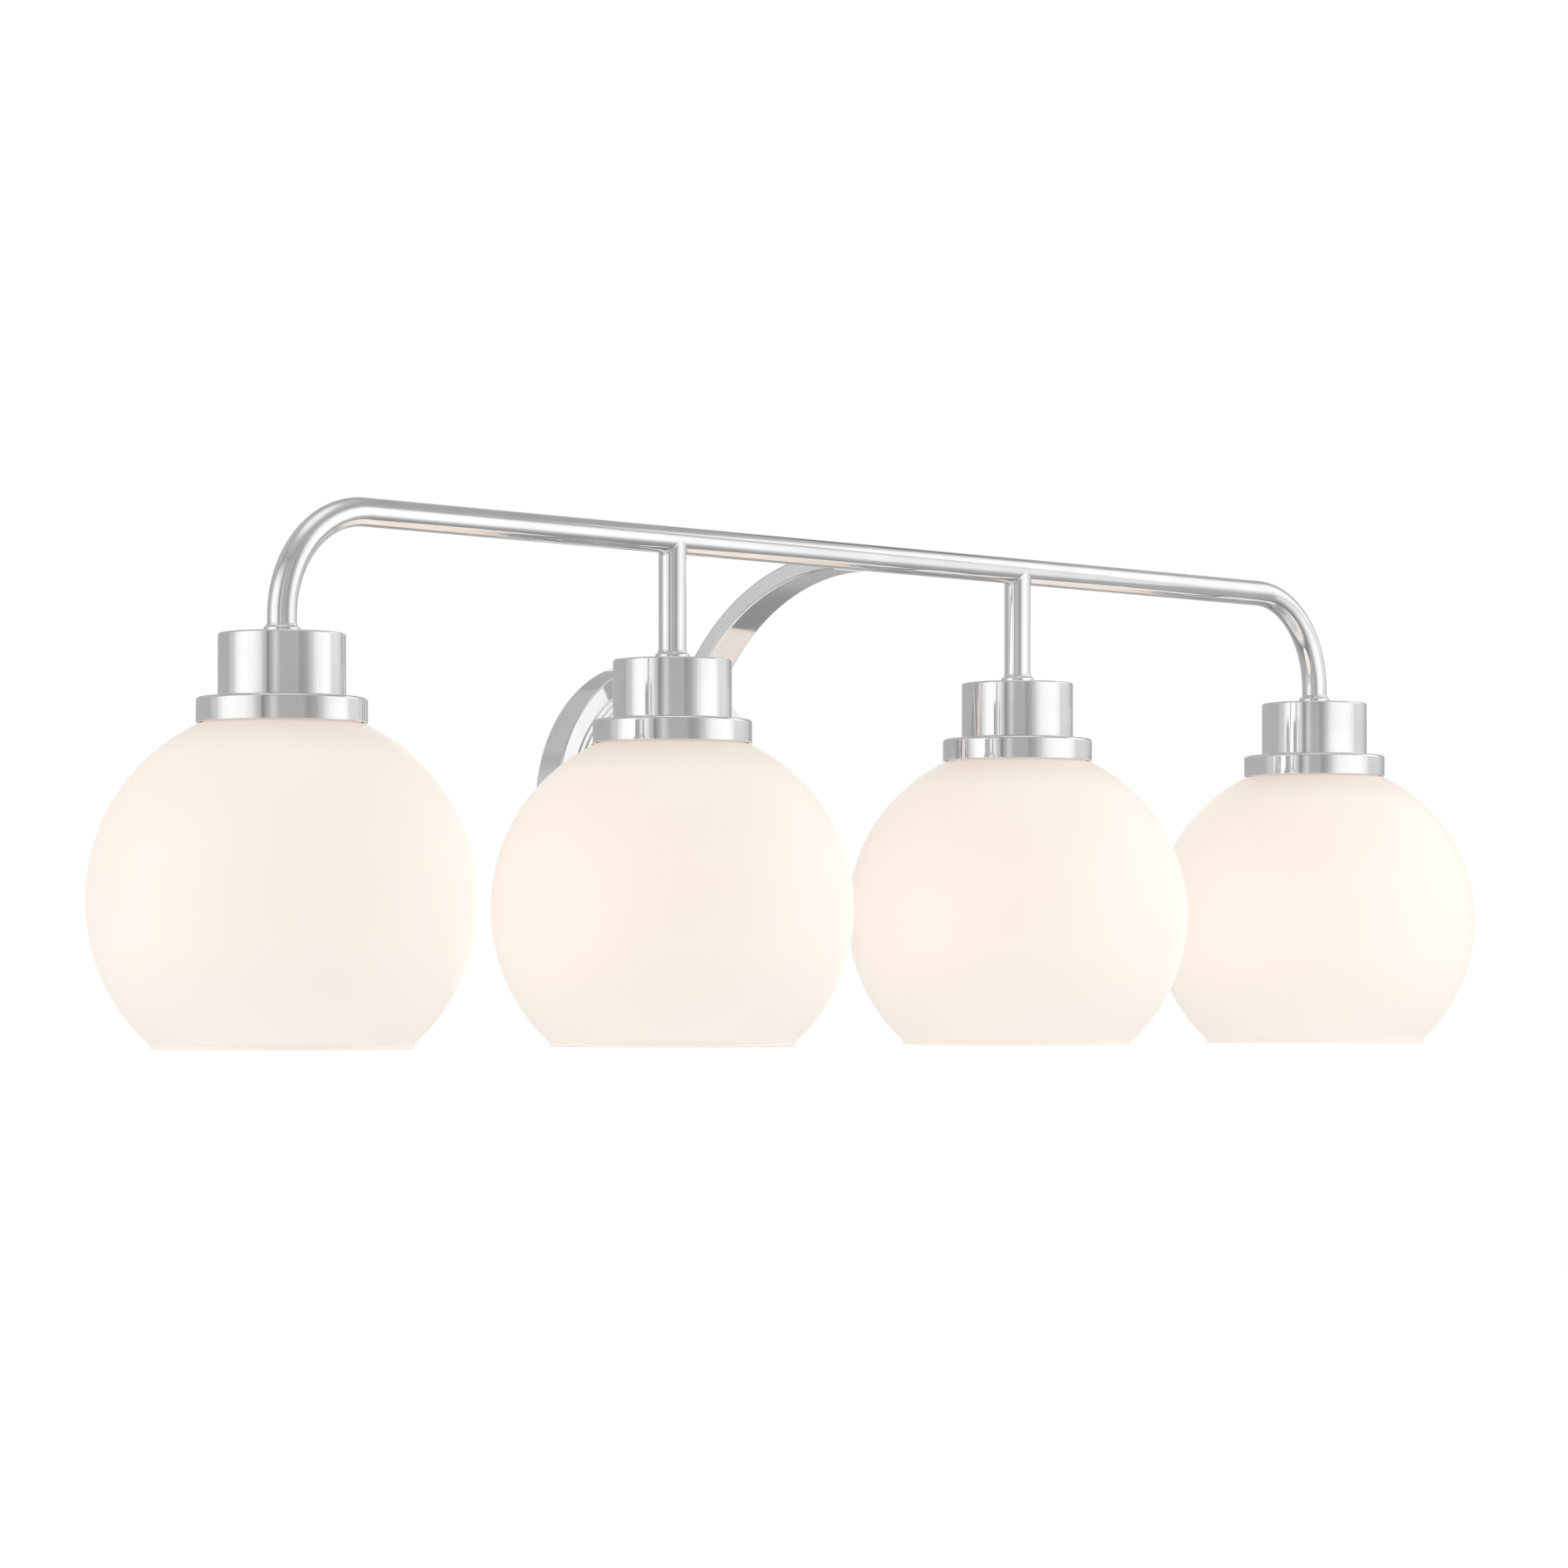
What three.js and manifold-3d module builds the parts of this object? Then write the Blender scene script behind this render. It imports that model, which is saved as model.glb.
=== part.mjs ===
// A four-light vanity bar: a bent chrome tube on a curved arm and a stepped round wall plate,
// with four opal glass globes hung under stepped socket cups.
//
// Millimetres. X runs along the bar, Y points into the wall, Z is up.
// The origin is the centre of the wall plate, in the plane of the wall.

import * as THREE from "three";
import { mergeVertices } from "three/addons/utils/BufferGeometryUtils.js";
import Module from "manifold-3d";

// ---- driving dimensions -------------------------------------------------------------------

const GAP = 0.3; // between pieces that touch

// Where the four lights hang
const MIDDLE_PITCH = 228;
const END_PITCH = 224;
const LIGHT_X = [
  -MIDDLE_PITCH / 2 - END_PITCH,
  -MIDDLE_PITCH / 2,
  MIDDLE_PITCH / 2,
  MIDDLE_PITCH / 2 + END_PITCH,
];

// Bar and stems: one size of round tube
const BAR_Y = -133.4;
const BAR_Z = 111;
const TUBE_R = 6;
const TUBE_BORE_R = 4.8;
const BEND_R = 45;
const STEM_HOLE_R = TUBE_BORE_R - 0.4; // where a stem's bore meets the bar's
const ARM_HOLE_HALF_W = 8;

// Socket cup, and the wider shade holder below it
const CUP_R = 25.8;
const CUP_TOP_Z = 58.9;
const CUP_WALL = 1.2;
const HOLDER_R = 34.6;
const HOLDER_TOP_Z = 33;
const HOLDER_BOTTOM_Z = 22.7;
const EDGE_ROUND = 0.9;

// Collar at the foot of each stem, and the threaded nipple inside it
const COLLAR_R = 7.5;
const COLLAR_H = 3.6;
const COLLAR_RIM = 2.2;
const COLLAR_Z = CUP_TOP_Z + GAP;
const STEM_FOOT_Z = COLLAR_Z + COLLAR_H + GAP;
const NIPPLE_R = 4.3;
const NIPPLE_BORE_R = 3.2;
const NIPPLE_TOP_Z = BAR_Z - BEND_R - 0.5;
const NIPPLE_BOTTOM_Z = 46;

// Glass globe, cut flat at the bottom
const GLOBE_R = 78.8;
const GLOBE_Z = -49;
const GLASS = 3;
const RIM_R = 53.3;
const RIM_LIP = 1.9;
const NECK_R = 30.5;
const NECK_TOP_Z = HOLDER_TOP_Z - CUP_WALL - 0.4;
const NECK_HOLE_R = 21.3;

// Lamp socket: a hub, a shoulder, a flange and a skirt, round a brass screw shell
const SOCKET_R = 19.4;
const SOCKET_HUB_R = 9;
const SOCKET_HUB_H = 4;
const SOCKET_SHOULDER_Z = 48;
const SOCKET_FLANGE_R = 22.5;
const SOCKET_FLANGE_H = 3;
const SOCKET_BOTTOM_Z = 9.5;
const SOCKET_CAVITY_R = 15.3;
const SOCKET_CAVITY_TOP_Z = 44;
const SHELL_R = 14.9;
const SHELL_WALL = 0.8;
const SHELL_HOLE_R = 6;
const SHELL_BOTTOM_Z = SOCKET_BOTTOM_Z + 1.5;

// Ring nut that clamps the globe's neck up against the holder
const RING_R = 25.6;
const RING_FOOT_R = 23.4;
const RING_H = 4.8;
const RING_EDGE_H = 1.5;
const RING_TOP_Z = NECK_TOP_Z - GLASS - 0.4;

// Bulb: a ball, a neck that narrows in two steps, and a base with an open tip
const BULB_R = 30;
const BULB_BASE_R = 13.2;
const BULB_BASE_Z = 13;
const BULB_TOP_Z = 38;
const BULB_LENGTH = 110;
const BULB_CENTRE_Z = BULB_TOP_Z - BULB_LENGTH + BULB_R;
const BULB_NECK = [
  [28.4, BULB_CENTRE_Z + 12],
  [21.5, BULB_CENTRE_Z + 28],
  [15.2, BULB_BASE_Z - 8],
];
const BULB_TIP_R = 4.5;
const BULB_TIP_HOLE_R = 2.2;
const BULB_WALL = 1.4;

// Arm: a hollow flat bar bent through a quarter turn
const ARM_WIDTH = 19.4;
const ARM_THICK = 8.1;
const ARM_WALL = 1.2;
const ARM_EDGE = 0.8;
const ARM_RADIUS = 106;
const ARM_START_Y = BAR_Y + 2.1;
const ARM_CENTRE_Z = 3;
const ARM_FOOT_Z = -24;
const ARM_DROP_Y = ARM_START_Y + ARM_RADIUS;
const ARM_BACK_Y = ARM_DROP_Y + ARM_THICK / 2;

// Wall plate: a pan with a flat outer ring and tiers that rise to a flat centre
const PLATE_R = 68.4;
const PLATE_RING_DEPTH = 14.5;
const PLATE_FACE_DEPTH = -(ARM_BACK_Y + GAP);
const PLATE_WALL = 1.2;
const TIER_OUTER_R = 60.6;
const TIER_STEP_R = 2.1;
const TIERS = 6;
const TIER_SLOPE = 0.4;
const PLATE_EDGE = [0.25, 0.8]; // the ring's rounded edge, in two facets

// Mounting bracket and its studs
const BRACKET_THICK = 2.4;
const BRACKET_HALF_LENGTH = 52;
const BRACKET_HALF_WIDTH = 11;
const BOX_SLOT_X = 44; // slots for the junction box's screws
const BOX_SLOT_HALF_LENGTH = 4.5;
const BOX_SLOT_R = 2.4;
const STUD_X = 34.9;
const STUD_R = 2;
const STUD_PAST_PLATE = 5;
const SCREW_HOLE_R = 2.4;
const GROUND_SCREW_Z = 6.5;
const GROUND_SCREW_R = 1.9;

// Nuts and screw heads
const THREAD_GAP = 0.35; // between a nut's bore and its stud
const CAP_NUT_BORE_H = 5.8;
const CAP_NUT_OUTLINE = [[5.6, 0], [5.6, 1.8], [5.1, 4.2], [3.6, 6.4], [1.6, 7.5], [0, 7.8]];
const LOCK_NUT_FLATS = 8;
const LOCK_NUT_H = 3;
const SCREW_HEAD_R = 4;
const SCREW_HEAD_H = 2.3;
const ARM_SCREW_LENGTH = 7;

// Slot that carries the leads from the arm into the plate
const SLOT_Z = -2.5;
const SLOT_HALF_W = 8.4;
const SLOT_HALF_H = 4.5;
const ARM_SCREW_Z = [13, -17];
const GROMMET_WALL = [0.7, 0.9]; // beyond the slot along X and Z
const GROMMET_FLANGE = [1.6, 1.2];
const GROMMET_FLANGE_H = 1;

// Leads: each socket's runs through the tubes to a connector behind the plate
const LEAD_R = 1.2;
const LEAD_X = [6.6, 3.8]; // in the arm: the end light's lead, then the middle light's
const LEAD_Z = BAR_Z - 1; // inside the bar
const LEAD_OFFSET_Y = 2.9; // the middle light's lead runs in front of the end light's
const LEAD_PLATE_Y = -13; // where the leads turn up to the connectors
const WIRE_NUT_X = 9;
const WIRE_NUT_Y = -10.5;
const WIRE_NUT_Z = 17;
const WIRE_NUT_BORE = [4.4, 9];
const WIRE_NUT_OUTLINE = [[6.4, 0], [6.4, 7], [4.8, 19], [3.4, 20.5], [0, 20.5]];

// Facets round each kind of piece, and steps along its bends
const GLOBE_SIDES = 20;
const PLATE_SIDES = 32;
const TUBE_SIDES = 12;
const SCREW_SIDES = 12;
const STUD_SIDES = 10;
const RING_SIDES = 16;
const LEAD_SIDES = 5;
const ARM_BEND_STEPS = 10;
const BAR_BEND_STEPS = 8;
const LEAD_BEND_STEPS = 6;
const TIGHT_BEND_R = 25;
const TIGHT_BEND_STEPS = 3;

// ---- materials ----------------------------------------------------------------------------

function material(color, metalness, roughness) {
  return () => new THREE.MeshStandardMaterial({ color, metalness, roughness });
}

const chrome = material(0xd9dbde, 1, 0.08);
const zincSteel = material(0xb4b6b2, 1, 0.4);
const opalGlass = material(0xf8efe6, 0, 0.55);
const bulbGlass = material(0xf6f4ee, 0, 0.45);
const porcelain = material(0xece9e1, 0, 0.3);
const phenolic = material(0xe4e1d8, 0, 0.45);
const brass = material(0xc9a14e, 1, 0.3);
const greenSteel = material(0x2f7d46, 0.8, 0.4);
const leadPlastic = material(0xdedad0, 0, 0.6);
const nutPlastic = material(0xd98a2b, 0, 0.5);
const rubber = material(0x23242a, 0, 0.8);

// ---- geometry helpers ---------------------------------------------------------------------

const wasm = await Module();
wasm.setup();

// Positions only, with shared vertices, as a boolean and a closed surface need.
function bare(geometry) {
  geometry.deleteAttribute("normal");
  geometry.deleteAttribute("uv");
  return mergeVertices(geometry, 1e-4);
}

// Triangles whose corners have merged are dropped: a lathe leaves them along its axis.
function solid(geometry) {
  const merged = bare(geometry);
  const index = merged.index.array;
  const kept = [];
  for (let i = 0; i < index.length; i += 3) {
    const [a, b, c] = [index[i], index[i + 1], index[i + 2]];
    if (a !== b && b !== c && c !== a) kept.push(a, b, c);
  }
  return new wasm.Manifold(
    new wasm.Mesh({
      numProp: 3,
      vertProperties: merged.attributes.position.array,
      triVerts: new Uint32Array(kept),
    }),
  );
}

function geometryOf(made) {
  const mesh = made.getMesh();
  const geometry = new THREE.BufferGeometry();
  geometry.setAttribute("position", new THREE.BufferAttribute(mesh.vertProperties, 3));
  geometry.setIndex(new THREE.BufferAttribute(mesh.triVerts, 1));
  geometry.computeVertexNormals();
  return geometry;
}

// One geometry, less each of the cutters.
function cut(geometry, ...cutters) {
  let made = solid(geometry);
  for (const cutter of cutters) made = made.subtract(solid(cutter));
  return geometryOf(made);
}

// Turns a profile of [radius, height] about the Z axis. It is wound so that its faces look out.
function turned(profile, sides = GLOBE_SIDES) {
  let area = 0;
  profile.forEach(([r, h], i) => {
    const [nextR, nextH] = profile[(i + 1) % profile.length];
    area += r * nextH - nextR * h;
  });
  const outline = area > 0 ? [...profile] : [...profile].reverse();
  if (profile[0][0] > 0) outline.push(outline[0]);
  const points = outline.map(([r, h]) => new THREE.Vector2(r, h));
  return geometryOf(solid(new THREE.LatheGeometry(points, sides).rotateX(Math.PI / 2)));
}

// The same about an axis that leaves the wall: the profile's heights are depths from the wall.
function turnedOffWall(profile, sides) {
  return turned(profile, sides).rotateX(Math.PI / 2);
}

// Points of an arc in a profile, from one angle to another, in degrees above the horizontal.
function arcPoints(radius, centreHeight, from, to, steps) {
  const points = [];
  for (let i = 0; i <= steps; i++) {
    const angle = THREE.MathUtils.degToRad(from + ((to - from) * i) / steps);
    points.push([radius * Math.cos(angle), centreHeight + radius * Math.sin(angle)]);
  }
  return points;
}

// A path through corner points [x, y, z, bend radius], each corner rounded to its radius. Its
// stations stand close together round the bends, and only at the ends of the straight stretches.
class Route extends THREE.Curve {
  constructor(corners, wideBendSteps) {
    super();
    const at = corners.map(([x, y, z]) => new THREE.Vector3(x, y, z));
    const last = at.length - 1;
    this.stations = [at[0]];
    this.directions = [at[1].clone().sub(at[0]).normalize()];
    for (let i = 1; i < last; i++) {
      const radius = corners[i][3];
      const steps = radius < TIGHT_BEND_R ? TIGHT_BEND_STEPS : wideBendSteps;
      this.addBend(at[i - 1], at[i], at[i + 1], radius, steps);
    }
    this.stations.push(at[last]);
    this.directions.push(at[last].clone().sub(at[last - 1]).normalize());
  }

  addBend(before, corner, after, radius, steps) {
    const into = corner.clone().sub(before).normalize();
    const out = after.clone().sub(corner).normalize();
    const turn = into.angleTo(out);
    const start = corner.clone().addScaledVector(into, -radius * Math.tan(turn / 2));
    const axis = into.clone().cross(out).normalize();
    const centre = start.clone().addScaledVector(axis.clone().cross(into), radius);
    for (let i = 0; i <= steps; i++) {
      const angle = (turn * i) / steps;
      const spoke = start.clone().sub(centre).applyAxisAngle(axis, angle);
      this.stations.push(centre.clone().add(spoke));
      this.directions.push(into.clone().applyAxisAngle(axis, angle));
    }
  }

  get steps() {
    return this.stations.length - 1;
  }

  getPointAt(u) {
    return this.stations[Math.round(u * this.steps)].clone();
  }

  getTangentAt(u) {
    return this.directions[Math.round(u * this.steps)].clone();
  }
}

function swept(shape, route) {
  return new THREE.ExtrudeGeometry(shape, { steps: route.steps, extrudePath: route });
}

function polygonShape(points) {
  return new THREE.Shape(points.map(([x, y]) => new THREE.Vector2(x, y)));
}

function circleShape(radius, sides) {
  const points = [];
  for (let i = 0; i < sides; i++) {
    const angle = (2 * Math.PI * i) / sides;
    points.push([radius * Math.cos(angle), radius * Math.sin(angle)]);
  }
  return polygonShape(points);
}

// A rectangle with its corners cut off at 45 degrees.
function bevelledShape(width, height, bevel) {
  const [x, y] = [width / 2, height / 2];
  return polygonShape([
    [-x + bevel, -y], [x - bevel, -y], [x, -y + bevel], [x, y - bevel],
    [x - bevel, y], [-x + bevel, y], [-x, y - bevel], [-x, -y + bevel],
  ]);
}

function box(x0, x1, y0, y1, z0, z1) {
  const geometry = new THREE.BoxGeometry(x1 - x0, y1 - y0, z1 - z0);
  return geometry.translate((x0 + x1) / 2, (y0 + y1) / 2, (z0 + z1) / 2);
}

function cylinderZ(radius, x, y, z0, z1, sides = TUBE_SIDES) {
  const geometry = new THREE.CylinderGeometry(radius, radius, z1 - z0, sides);
  return geometry.rotateX(Math.PI / 2).translate(x, y, (z0 + z1) / 2);
}

function cylinderY(radius, x, z, y0, y1, sides = SCREW_SIDES) {
  const geometry = new THREE.CylinderGeometry(radius, radius, y1 - y0, sides);
  return geometry.translate(x, (y0 + y1) / 2, z);
}

function barCutter(radius) {
  const length = MIDDLE_PITCH + 40;
  const geometry = new THREE.CylinderGeometry(radius, radius, length, TUBE_SIDES);
  return geometry.rotateZ(Math.PI / 2).translate(0, BAR_Y, BAR_Z);
}

function mesh(name, geometry, finish) {
  const made = new THREE.Mesh(geometry, finish());
  made.name = name;
  return made;
}

// ---- wall plate and bracket ---------------------------------------------------------------

// A flat plate outside, rising in equal tiers; inside, a plain cone follows the tiers.
function wallPlateGeometry() {
  const [narrow, wide] = PLATE_EDGE;
  const profile = [
    [PLATE_R, 0],
    [PLATE_R, PLATE_RING_DEPTH - wide],
    [PLATE_R - narrow, PLATE_RING_DEPTH - narrow],
    [PLATE_R - wide, PLATE_RING_DEPTH],
  ];
  const rise = (PLATE_FACE_DEPTH - PLATE_RING_DEPTH) / TIERS;
  for (let tier = 0; tier < TIERS; tier++) {
    const r = TIER_OUTER_R - tier * TIER_STEP_R;
    const depth = PLATE_RING_DEPTH + tier * rise;
    profile.push([r, depth], [r - TIER_SLOPE, depth + rise]);
  }
  const centreR = TIER_OUTER_R - (TIERS - 1) * TIER_STEP_R - 3.2;
  profile.push(
    [0, PLATE_FACE_DEPTH],
    [0, PLATE_FACE_DEPTH - PLATE_WALL],
    [centreR, PLATE_FACE_DEPTH - PLATE_WALL],
    [TIER_OUTER_R - 1.6, PLATE_RING_DEPTH - PLATE_WALL],
    [PLATE_R - PLATE_WALL - 1, PLATE_RING_DEPTH - PLATE_WALL],
    [PLATE_R - PLATE_WALL, PLATE_RING_DEPTH - PLATE_WALL - 1],
    [PLATE_R - PLATE_WALL, 0],
  );
  // The profile is a ring here and a disc at the axis, so it starts on the axis.
  const start = profile.findIndex(([r]) => r === 0) + 1;
  const fromAxis = [...profile.slice(start), ...profile.slice(0, start)];
  const through = [-PLATE_FACE_DEPTH - 1, -PLATE_FACE_DEPTH + PLATE_WALL + 1];
  const slotW = SLOT_HALF_W + 1;
  const slotH = SLOT_HALF_H + 1.2;
  const holes = [
    box(-slotW, slotW, ...through, SLOT_Z - slotH, SLOT_Z + slotH),
    cylinderY(SCREW_HOLE_R, -STUD_X, 0, ...through),
    cylinderY(SCREW_HOLE_R, STUD_X, 0, ...through),
    ...ARM_SCREW_Z.map((z) => cylinderY(SCREW_HOLE_R, 0, z, ...through)),
  ];
  return cut(turnedOffWall(fromAxis, PLATE_SIDES), ...holes);
}

function roundHole(x, y, radius) {
  const hole = new THREE.Path();
  hole.absarc(x, y, radius, 0, 2 * Math.PI, true);
  return hole;
}

// A slot along X with round ends.
function slotHole(x, y, halfLength, radius) {
  const hole = new THREE.Path();
  hole.absarc(x + halfLength - radius, y, radius, Math.PI / 2, -Math.PI / 2, true);
  hole.absarc(x - halfLength + radius, y, radius, -Math.PI / 2, (-3 * Math.PI) / 2, true);
  return hole;
}

function bracketGeometry() {
  const shape = new THREE.Shape();
  const straight = BRACKET_HALF_LENGTH - BRACKET_HALF_WIDTH;
  shape.absarc(straight, 0, BRACKET_HALF_WIDTH, -Math.PI / 2, Math.PI / 2, false);
  shape.absarc(-straight, 0, BRACKET_HALF_WIDTH, Math.PI / 2, (3 * Math.PI) / 2, false);
  for (const side of [-1, 1]) {
    shape.holes.push(roundHole(side * STUD_X, 0, SCREW_HOLE_R));
    shape.holes.push(slotHole(side * BOX_SLOT_X, 0, BOX_SLOT_HALF_LENGTH, BOX_SLOT_R));
  }
  shape.holes.push(roundHole(0, GROUND_SCREW_Z, SCREW_HOLE_R));
  const options = { depth: BRACKET_THICK, bevelEnabled: false, curveSegments: 4 };
  return new THREE.ExtrudeGeometry(shape, options).rotateX(Math.PI / 2);
}

// A shank, and a head whose edge is bevelled.
function screwProfile(shankR, length) {
  return [
    [0, 0],
    [shankR, 0],
    [shankR, length],
    [SCREW_HEAD_R, length],
    [SCREW_HEAD_R, length + SCREW_HEAD_H * 0.6],
    [SCREW_HEAD_R * 0.7, length + SCREW_HEAD_H],
    [0, length + SCREW_HEAD_H],
  ];
}

function capNutGeometry() {
  const bore = STUD_R + THREAD_GAP;
  const hole = [[0, CAP_NUT_BORE_H], [bore, CAP_NUT_BORE_H], [bore, 0]];
  return turnedOffWall([...hole, ...CAP_NUT_OUTLINE], SCREW_SIDES);
}

function hexNutGeometry(acrossFlats, boreR, height) {
  const circumR = acrossFlats / Math.sqrt(3);
  const profile = [[boreR, 0], [circumR, 0], [circumR, height], [boreR, height]];
  return turnedOffWall(profile, 6);
}

// A flanged oblong bush that lines the plate's lead slot.
function grommetGeometry() {
  const flangeY = -PLATE_FACE_DEPTH + PLATE_WALL + GAP;
  const endY = flangeY + GROMMET_FLANGE_H;
  const [w, h] = [SLOT_HALF_W + GROMMET_WALL[0], SLOT_HALF_H + GROMMET_WALL[1]];
  const [flangeW, flangeH] = [w + GROMMET_FLANGE[0], h + GROMMET_FLANGE[1]];
  const sleeve = box(-w, w, -PLATE_FACE_DEPTH, endY, SLOT_Z - h, SLOT_Z + h);
  const flange = box(-flangeW, flangeW, flangeY, endY, SLOT_Z - flangeH, SLOT_Z + flangeH);
  const [holeW, holeH] = [SLOT_HALF_W - 0.1, SLOT_HALF_H - 0.1];
  const through = [-PLATE_FACE_DEPTH - 1, 0];
  const hole = box(-holeW, holeW, ...through, SLOT_Z - holeH, SLOT_Z + holeH);
  return geometryOf(solid(sleeve).add(solid(flange)).subtract(solid(hole)));
}

function wallSide() {
  const group = new THREE.Group();
  group.add(mesh("wall_plate", wallPlateGeometry(), chrome));
  group.add(mesh("mounting_bracket", bracketGeometry(), zincSteel));
  group.add(mesh("lead_grommet", grommetGeometry(), rubber));

  const studLength = PLATE_FACE_DEPTH + STUD_PAST_PLATE;
  const lockBore = STUD_R + THREAD_GAP;
  const studProfile = [[0, 0], [STUD_R, 0], [STUD_R, studLength], [0, studLength]];
  for (const [side, x] of [["left", -STUD_X], ["right", STUD_X]]) {
    const stud = mesh(`mounting_stud_${side}`, turnedOffWall(studProfile, STUD_SIDES), zincSteel);
    stud.position.set(x, -GAP, 0);
    const lockNut = hexNutGeometry(LOCK_NUT_FLATS, lockBore, LOCK_NUT_H);
    const lock = mesh(`stud_nut_${side}`, lockNut, zincSteel);
    lock.position.set(x, -BRACKET_THICK - GAP, 0);
    const cap = mesh(`cap_nut_${side}`, capNutGeometry(), chrome);
    cap.position.set(x, -PLATE_FACE_DEPTH - GAP, 0);
    group.add(stud, lock, cap);
  }

  const groundProfile = screwProfile(GROUND_SCREW_R, BRACKET_THICK);
  const ground = mesh("ground_screw", turnedOffWall(groundProfile, SCREW_SIDES), greenSteel);
  ground.position.set(0, -GAP, GROUND_SCREW_Z);
  group.add(ground);
  return group;
}

// ---- arm ----------------------------------------------------------------------------------

function armRoute(footZ) {
  const corners = [
    [0, BAR_Y, ARM_CENTRE_Z + ARM_RADIUS],
    [0, ARM_DROP_Y, ARM_CENTRE_Z + ARM_RADIUS, ARM_RADIUS],
    [0, ARM_DROP_Y, footZ],
  ];
  return new Route(corners, ARM_BEND_STEPS);
}

// A section's x axis lies across the bend, and its y axis along X.
function armGeometry() {
  const outside = swept(bevelledShape(ARM_THICK, ARM_WIDTH, ARM_EDGE), armRoute(ARM_FOOT_Z));
  const [hollowT, hollowW] = [ARM_THICK - 2 * ARM_WALL, ARM_WIDTH - 2 * ARM_WALL];
  const hollow = swept(bevelledShape(hollowT, hollowW, 0.1), armRoute(ARM_FOOT_Z + 1.5));
  const through = [ARM_BACK_Y - ARM_WALL - 1, ARM_BACK_Y + 1];
  const slot = box(
    -SLOT_HALF_W, SLOT_HALF_W, ...through, SLOT_Z - SLOT_HALF_H, SLOT_Z + SLOT_HALF_H,
  );
  const screwHoles = ARM_SCREW_Z.map((z) => cylinderY(SCREW_HOLE_R, 0, z, ...through));
  return cut(outside, hollow, barCutter(TUBE_R + GAP), slot, ...screwHoles);
}

function armAssembly() {
  const group = new THREE.Group();
  group.add(mesh("curved_arm", armGeometry(), chrome));
  const profile = screwProfile(STUD_R, ARM_SCREW_LENGTH);
  const headY = -PLATE_FACE_DEPTH + PLATE_WALL + GAP;
  ARM_SCREW_Z.forEach((z, i) => {
    const name = `arm_screw_${["upper", "lower"][i]}`;
    const screw = mesh(name, turned(profile, SCREW_SIDES), zincSteel);
    screw.rotation.x = -Math.PI / 2;
    screw.position.set(0, headY - ARM_SCREW_LENGTH, z);
    group.add(screw);
  });
  return group;
}

// ---- bar and stems ------------------------------------------------------------------------

function barRoute(footZ) {
  const [left, , , right] = LIGHT_X;
  const corners = [
    [left, BAR_Y, footZ],
    [left, BAR_Y, BAR_Z, BEND_R],
    [right, BAR_Y, BAR_Z, BEND_R],
    [right, BAR_Y, footZ],
  ];
  return new Route(corners, BAR_BEND_STEPS);
}

function barGeometry() {
  const stemHoles = [LIGHT_X[1], LIGHT_X[2]].map((x) => {
    return cylinderZ(STEM_HOLE_R, x, BAR_Y, BAR_Z - TUBE_R - 1, BAR_Z);
  });
  const armZ = ARM_CENTRE_Z + ARM_RADIUS;
  const behind = [BAR_Y, BAR_Y + TUBE_R + 1];
  const armHole = box(-ARM_HOLE_HALF_W, ARM_HOLE_HALF_W, ...behind, armZ - 2.4, armZ + 2.8);
  const outside = swept(circleShape(TUBE_R, TUBE_SIDES), barRoute(STEM_FOOT_Z));
  const bore = swept(circleShape(TUBE_BORE_R, TUBE_SIDES), barRoute(STEM_FOOT_Z - 1));
  return cut(outside, bore, ...stemHoles, armHole);
}

// A straight stem, its top coped to the underside of the bar.
function stemGeometry(x) {
  const tube = cylinderZ(TUBE_R, x, BAR_Y, STEM_FOOT_Z, BAR_Z);
  const bore = cylinderZ(TUBE_BORE_R, x, BAR_Y, STEM_FOOT_Z - 1, BAR_Z + 1);
  return cut(tube, bore, barCutter(TUBE_R + GAP));
}

// ---- one light ----------------------------------------------------------------------------

function collarGeometry() {
  const bore = NIPPLE_R + 0.5;
  return turned(
    [
      [bore, COLLAR_Z], [COLLAR_R, COLLAR_Z], [COLLAR_R, COLLAR_Z + COLLAR_RIM],
      [TUBE_R + 0.5, COLLAR_Z + COLLAR_H], [bore, COLLAR_Z + COLLAR_H],
    ],
    TUBE_SIDES,
  );
}

function nippleGeometry() {
  return turned(
    [
      [NIPPLE_BORE_R, NIPPLE_BOTTOM_Z], [NIPPLE_R, NIPPLE_BOTTOM_Z],
      [NIPPLE_R, NIPPLE_TOP_Z], [NIPPLE_BORE_R, NIPPLE_TOP_Z],
    ],
    TUBE_SIDES,
  );
}

function cupGeometry() {
  const hole = NIPPLE_R + 0.7;
  const bottom = HOLDER_TOP_Z + GAP;
  const inner = CUP_R - CUP_WALL;
  return turned([
    [hole, CUP_TOP_Z],
    [CUP_R - EDGE_ROUND, CUP_TOP_Z],
    [CUP_R, CUP_TOP_Z - EDGE_ROUND],
    [CUP_R, bottom + EDGE_ROUND],
    [CUP_R - EDGE_ROUND, bottom],
    [inner, bottom],
    [inner, CUP_TOP_Z - CUP_WALL],
    [hole, CUP_TOP_Z - CUP_WALL],
  ]);
}

function holderGeometry() {
  const hole = SOCKET_R + 0.5;
  const inner = HOLDER_R - CUP_WALL;
  return turned([
    [hole, HOLDER_TOP_Z],
    [HOLDER_R - EDGE_ROUND, HOLDER_TOP_Z],
    [HOLDER_R, HOLDER_TOP_Z - EDGE_ROUND],
    [HOLDER_R, HOLDER_BOTTOM_Z],
    [inner, HOLDER_BOTTOM_Z],
    [inner, HOLDER_TOP_Z - CUP_WALL],
    [hole, HOLDER_TOP_Z - CUP_WALL],
  ]);
}

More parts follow.
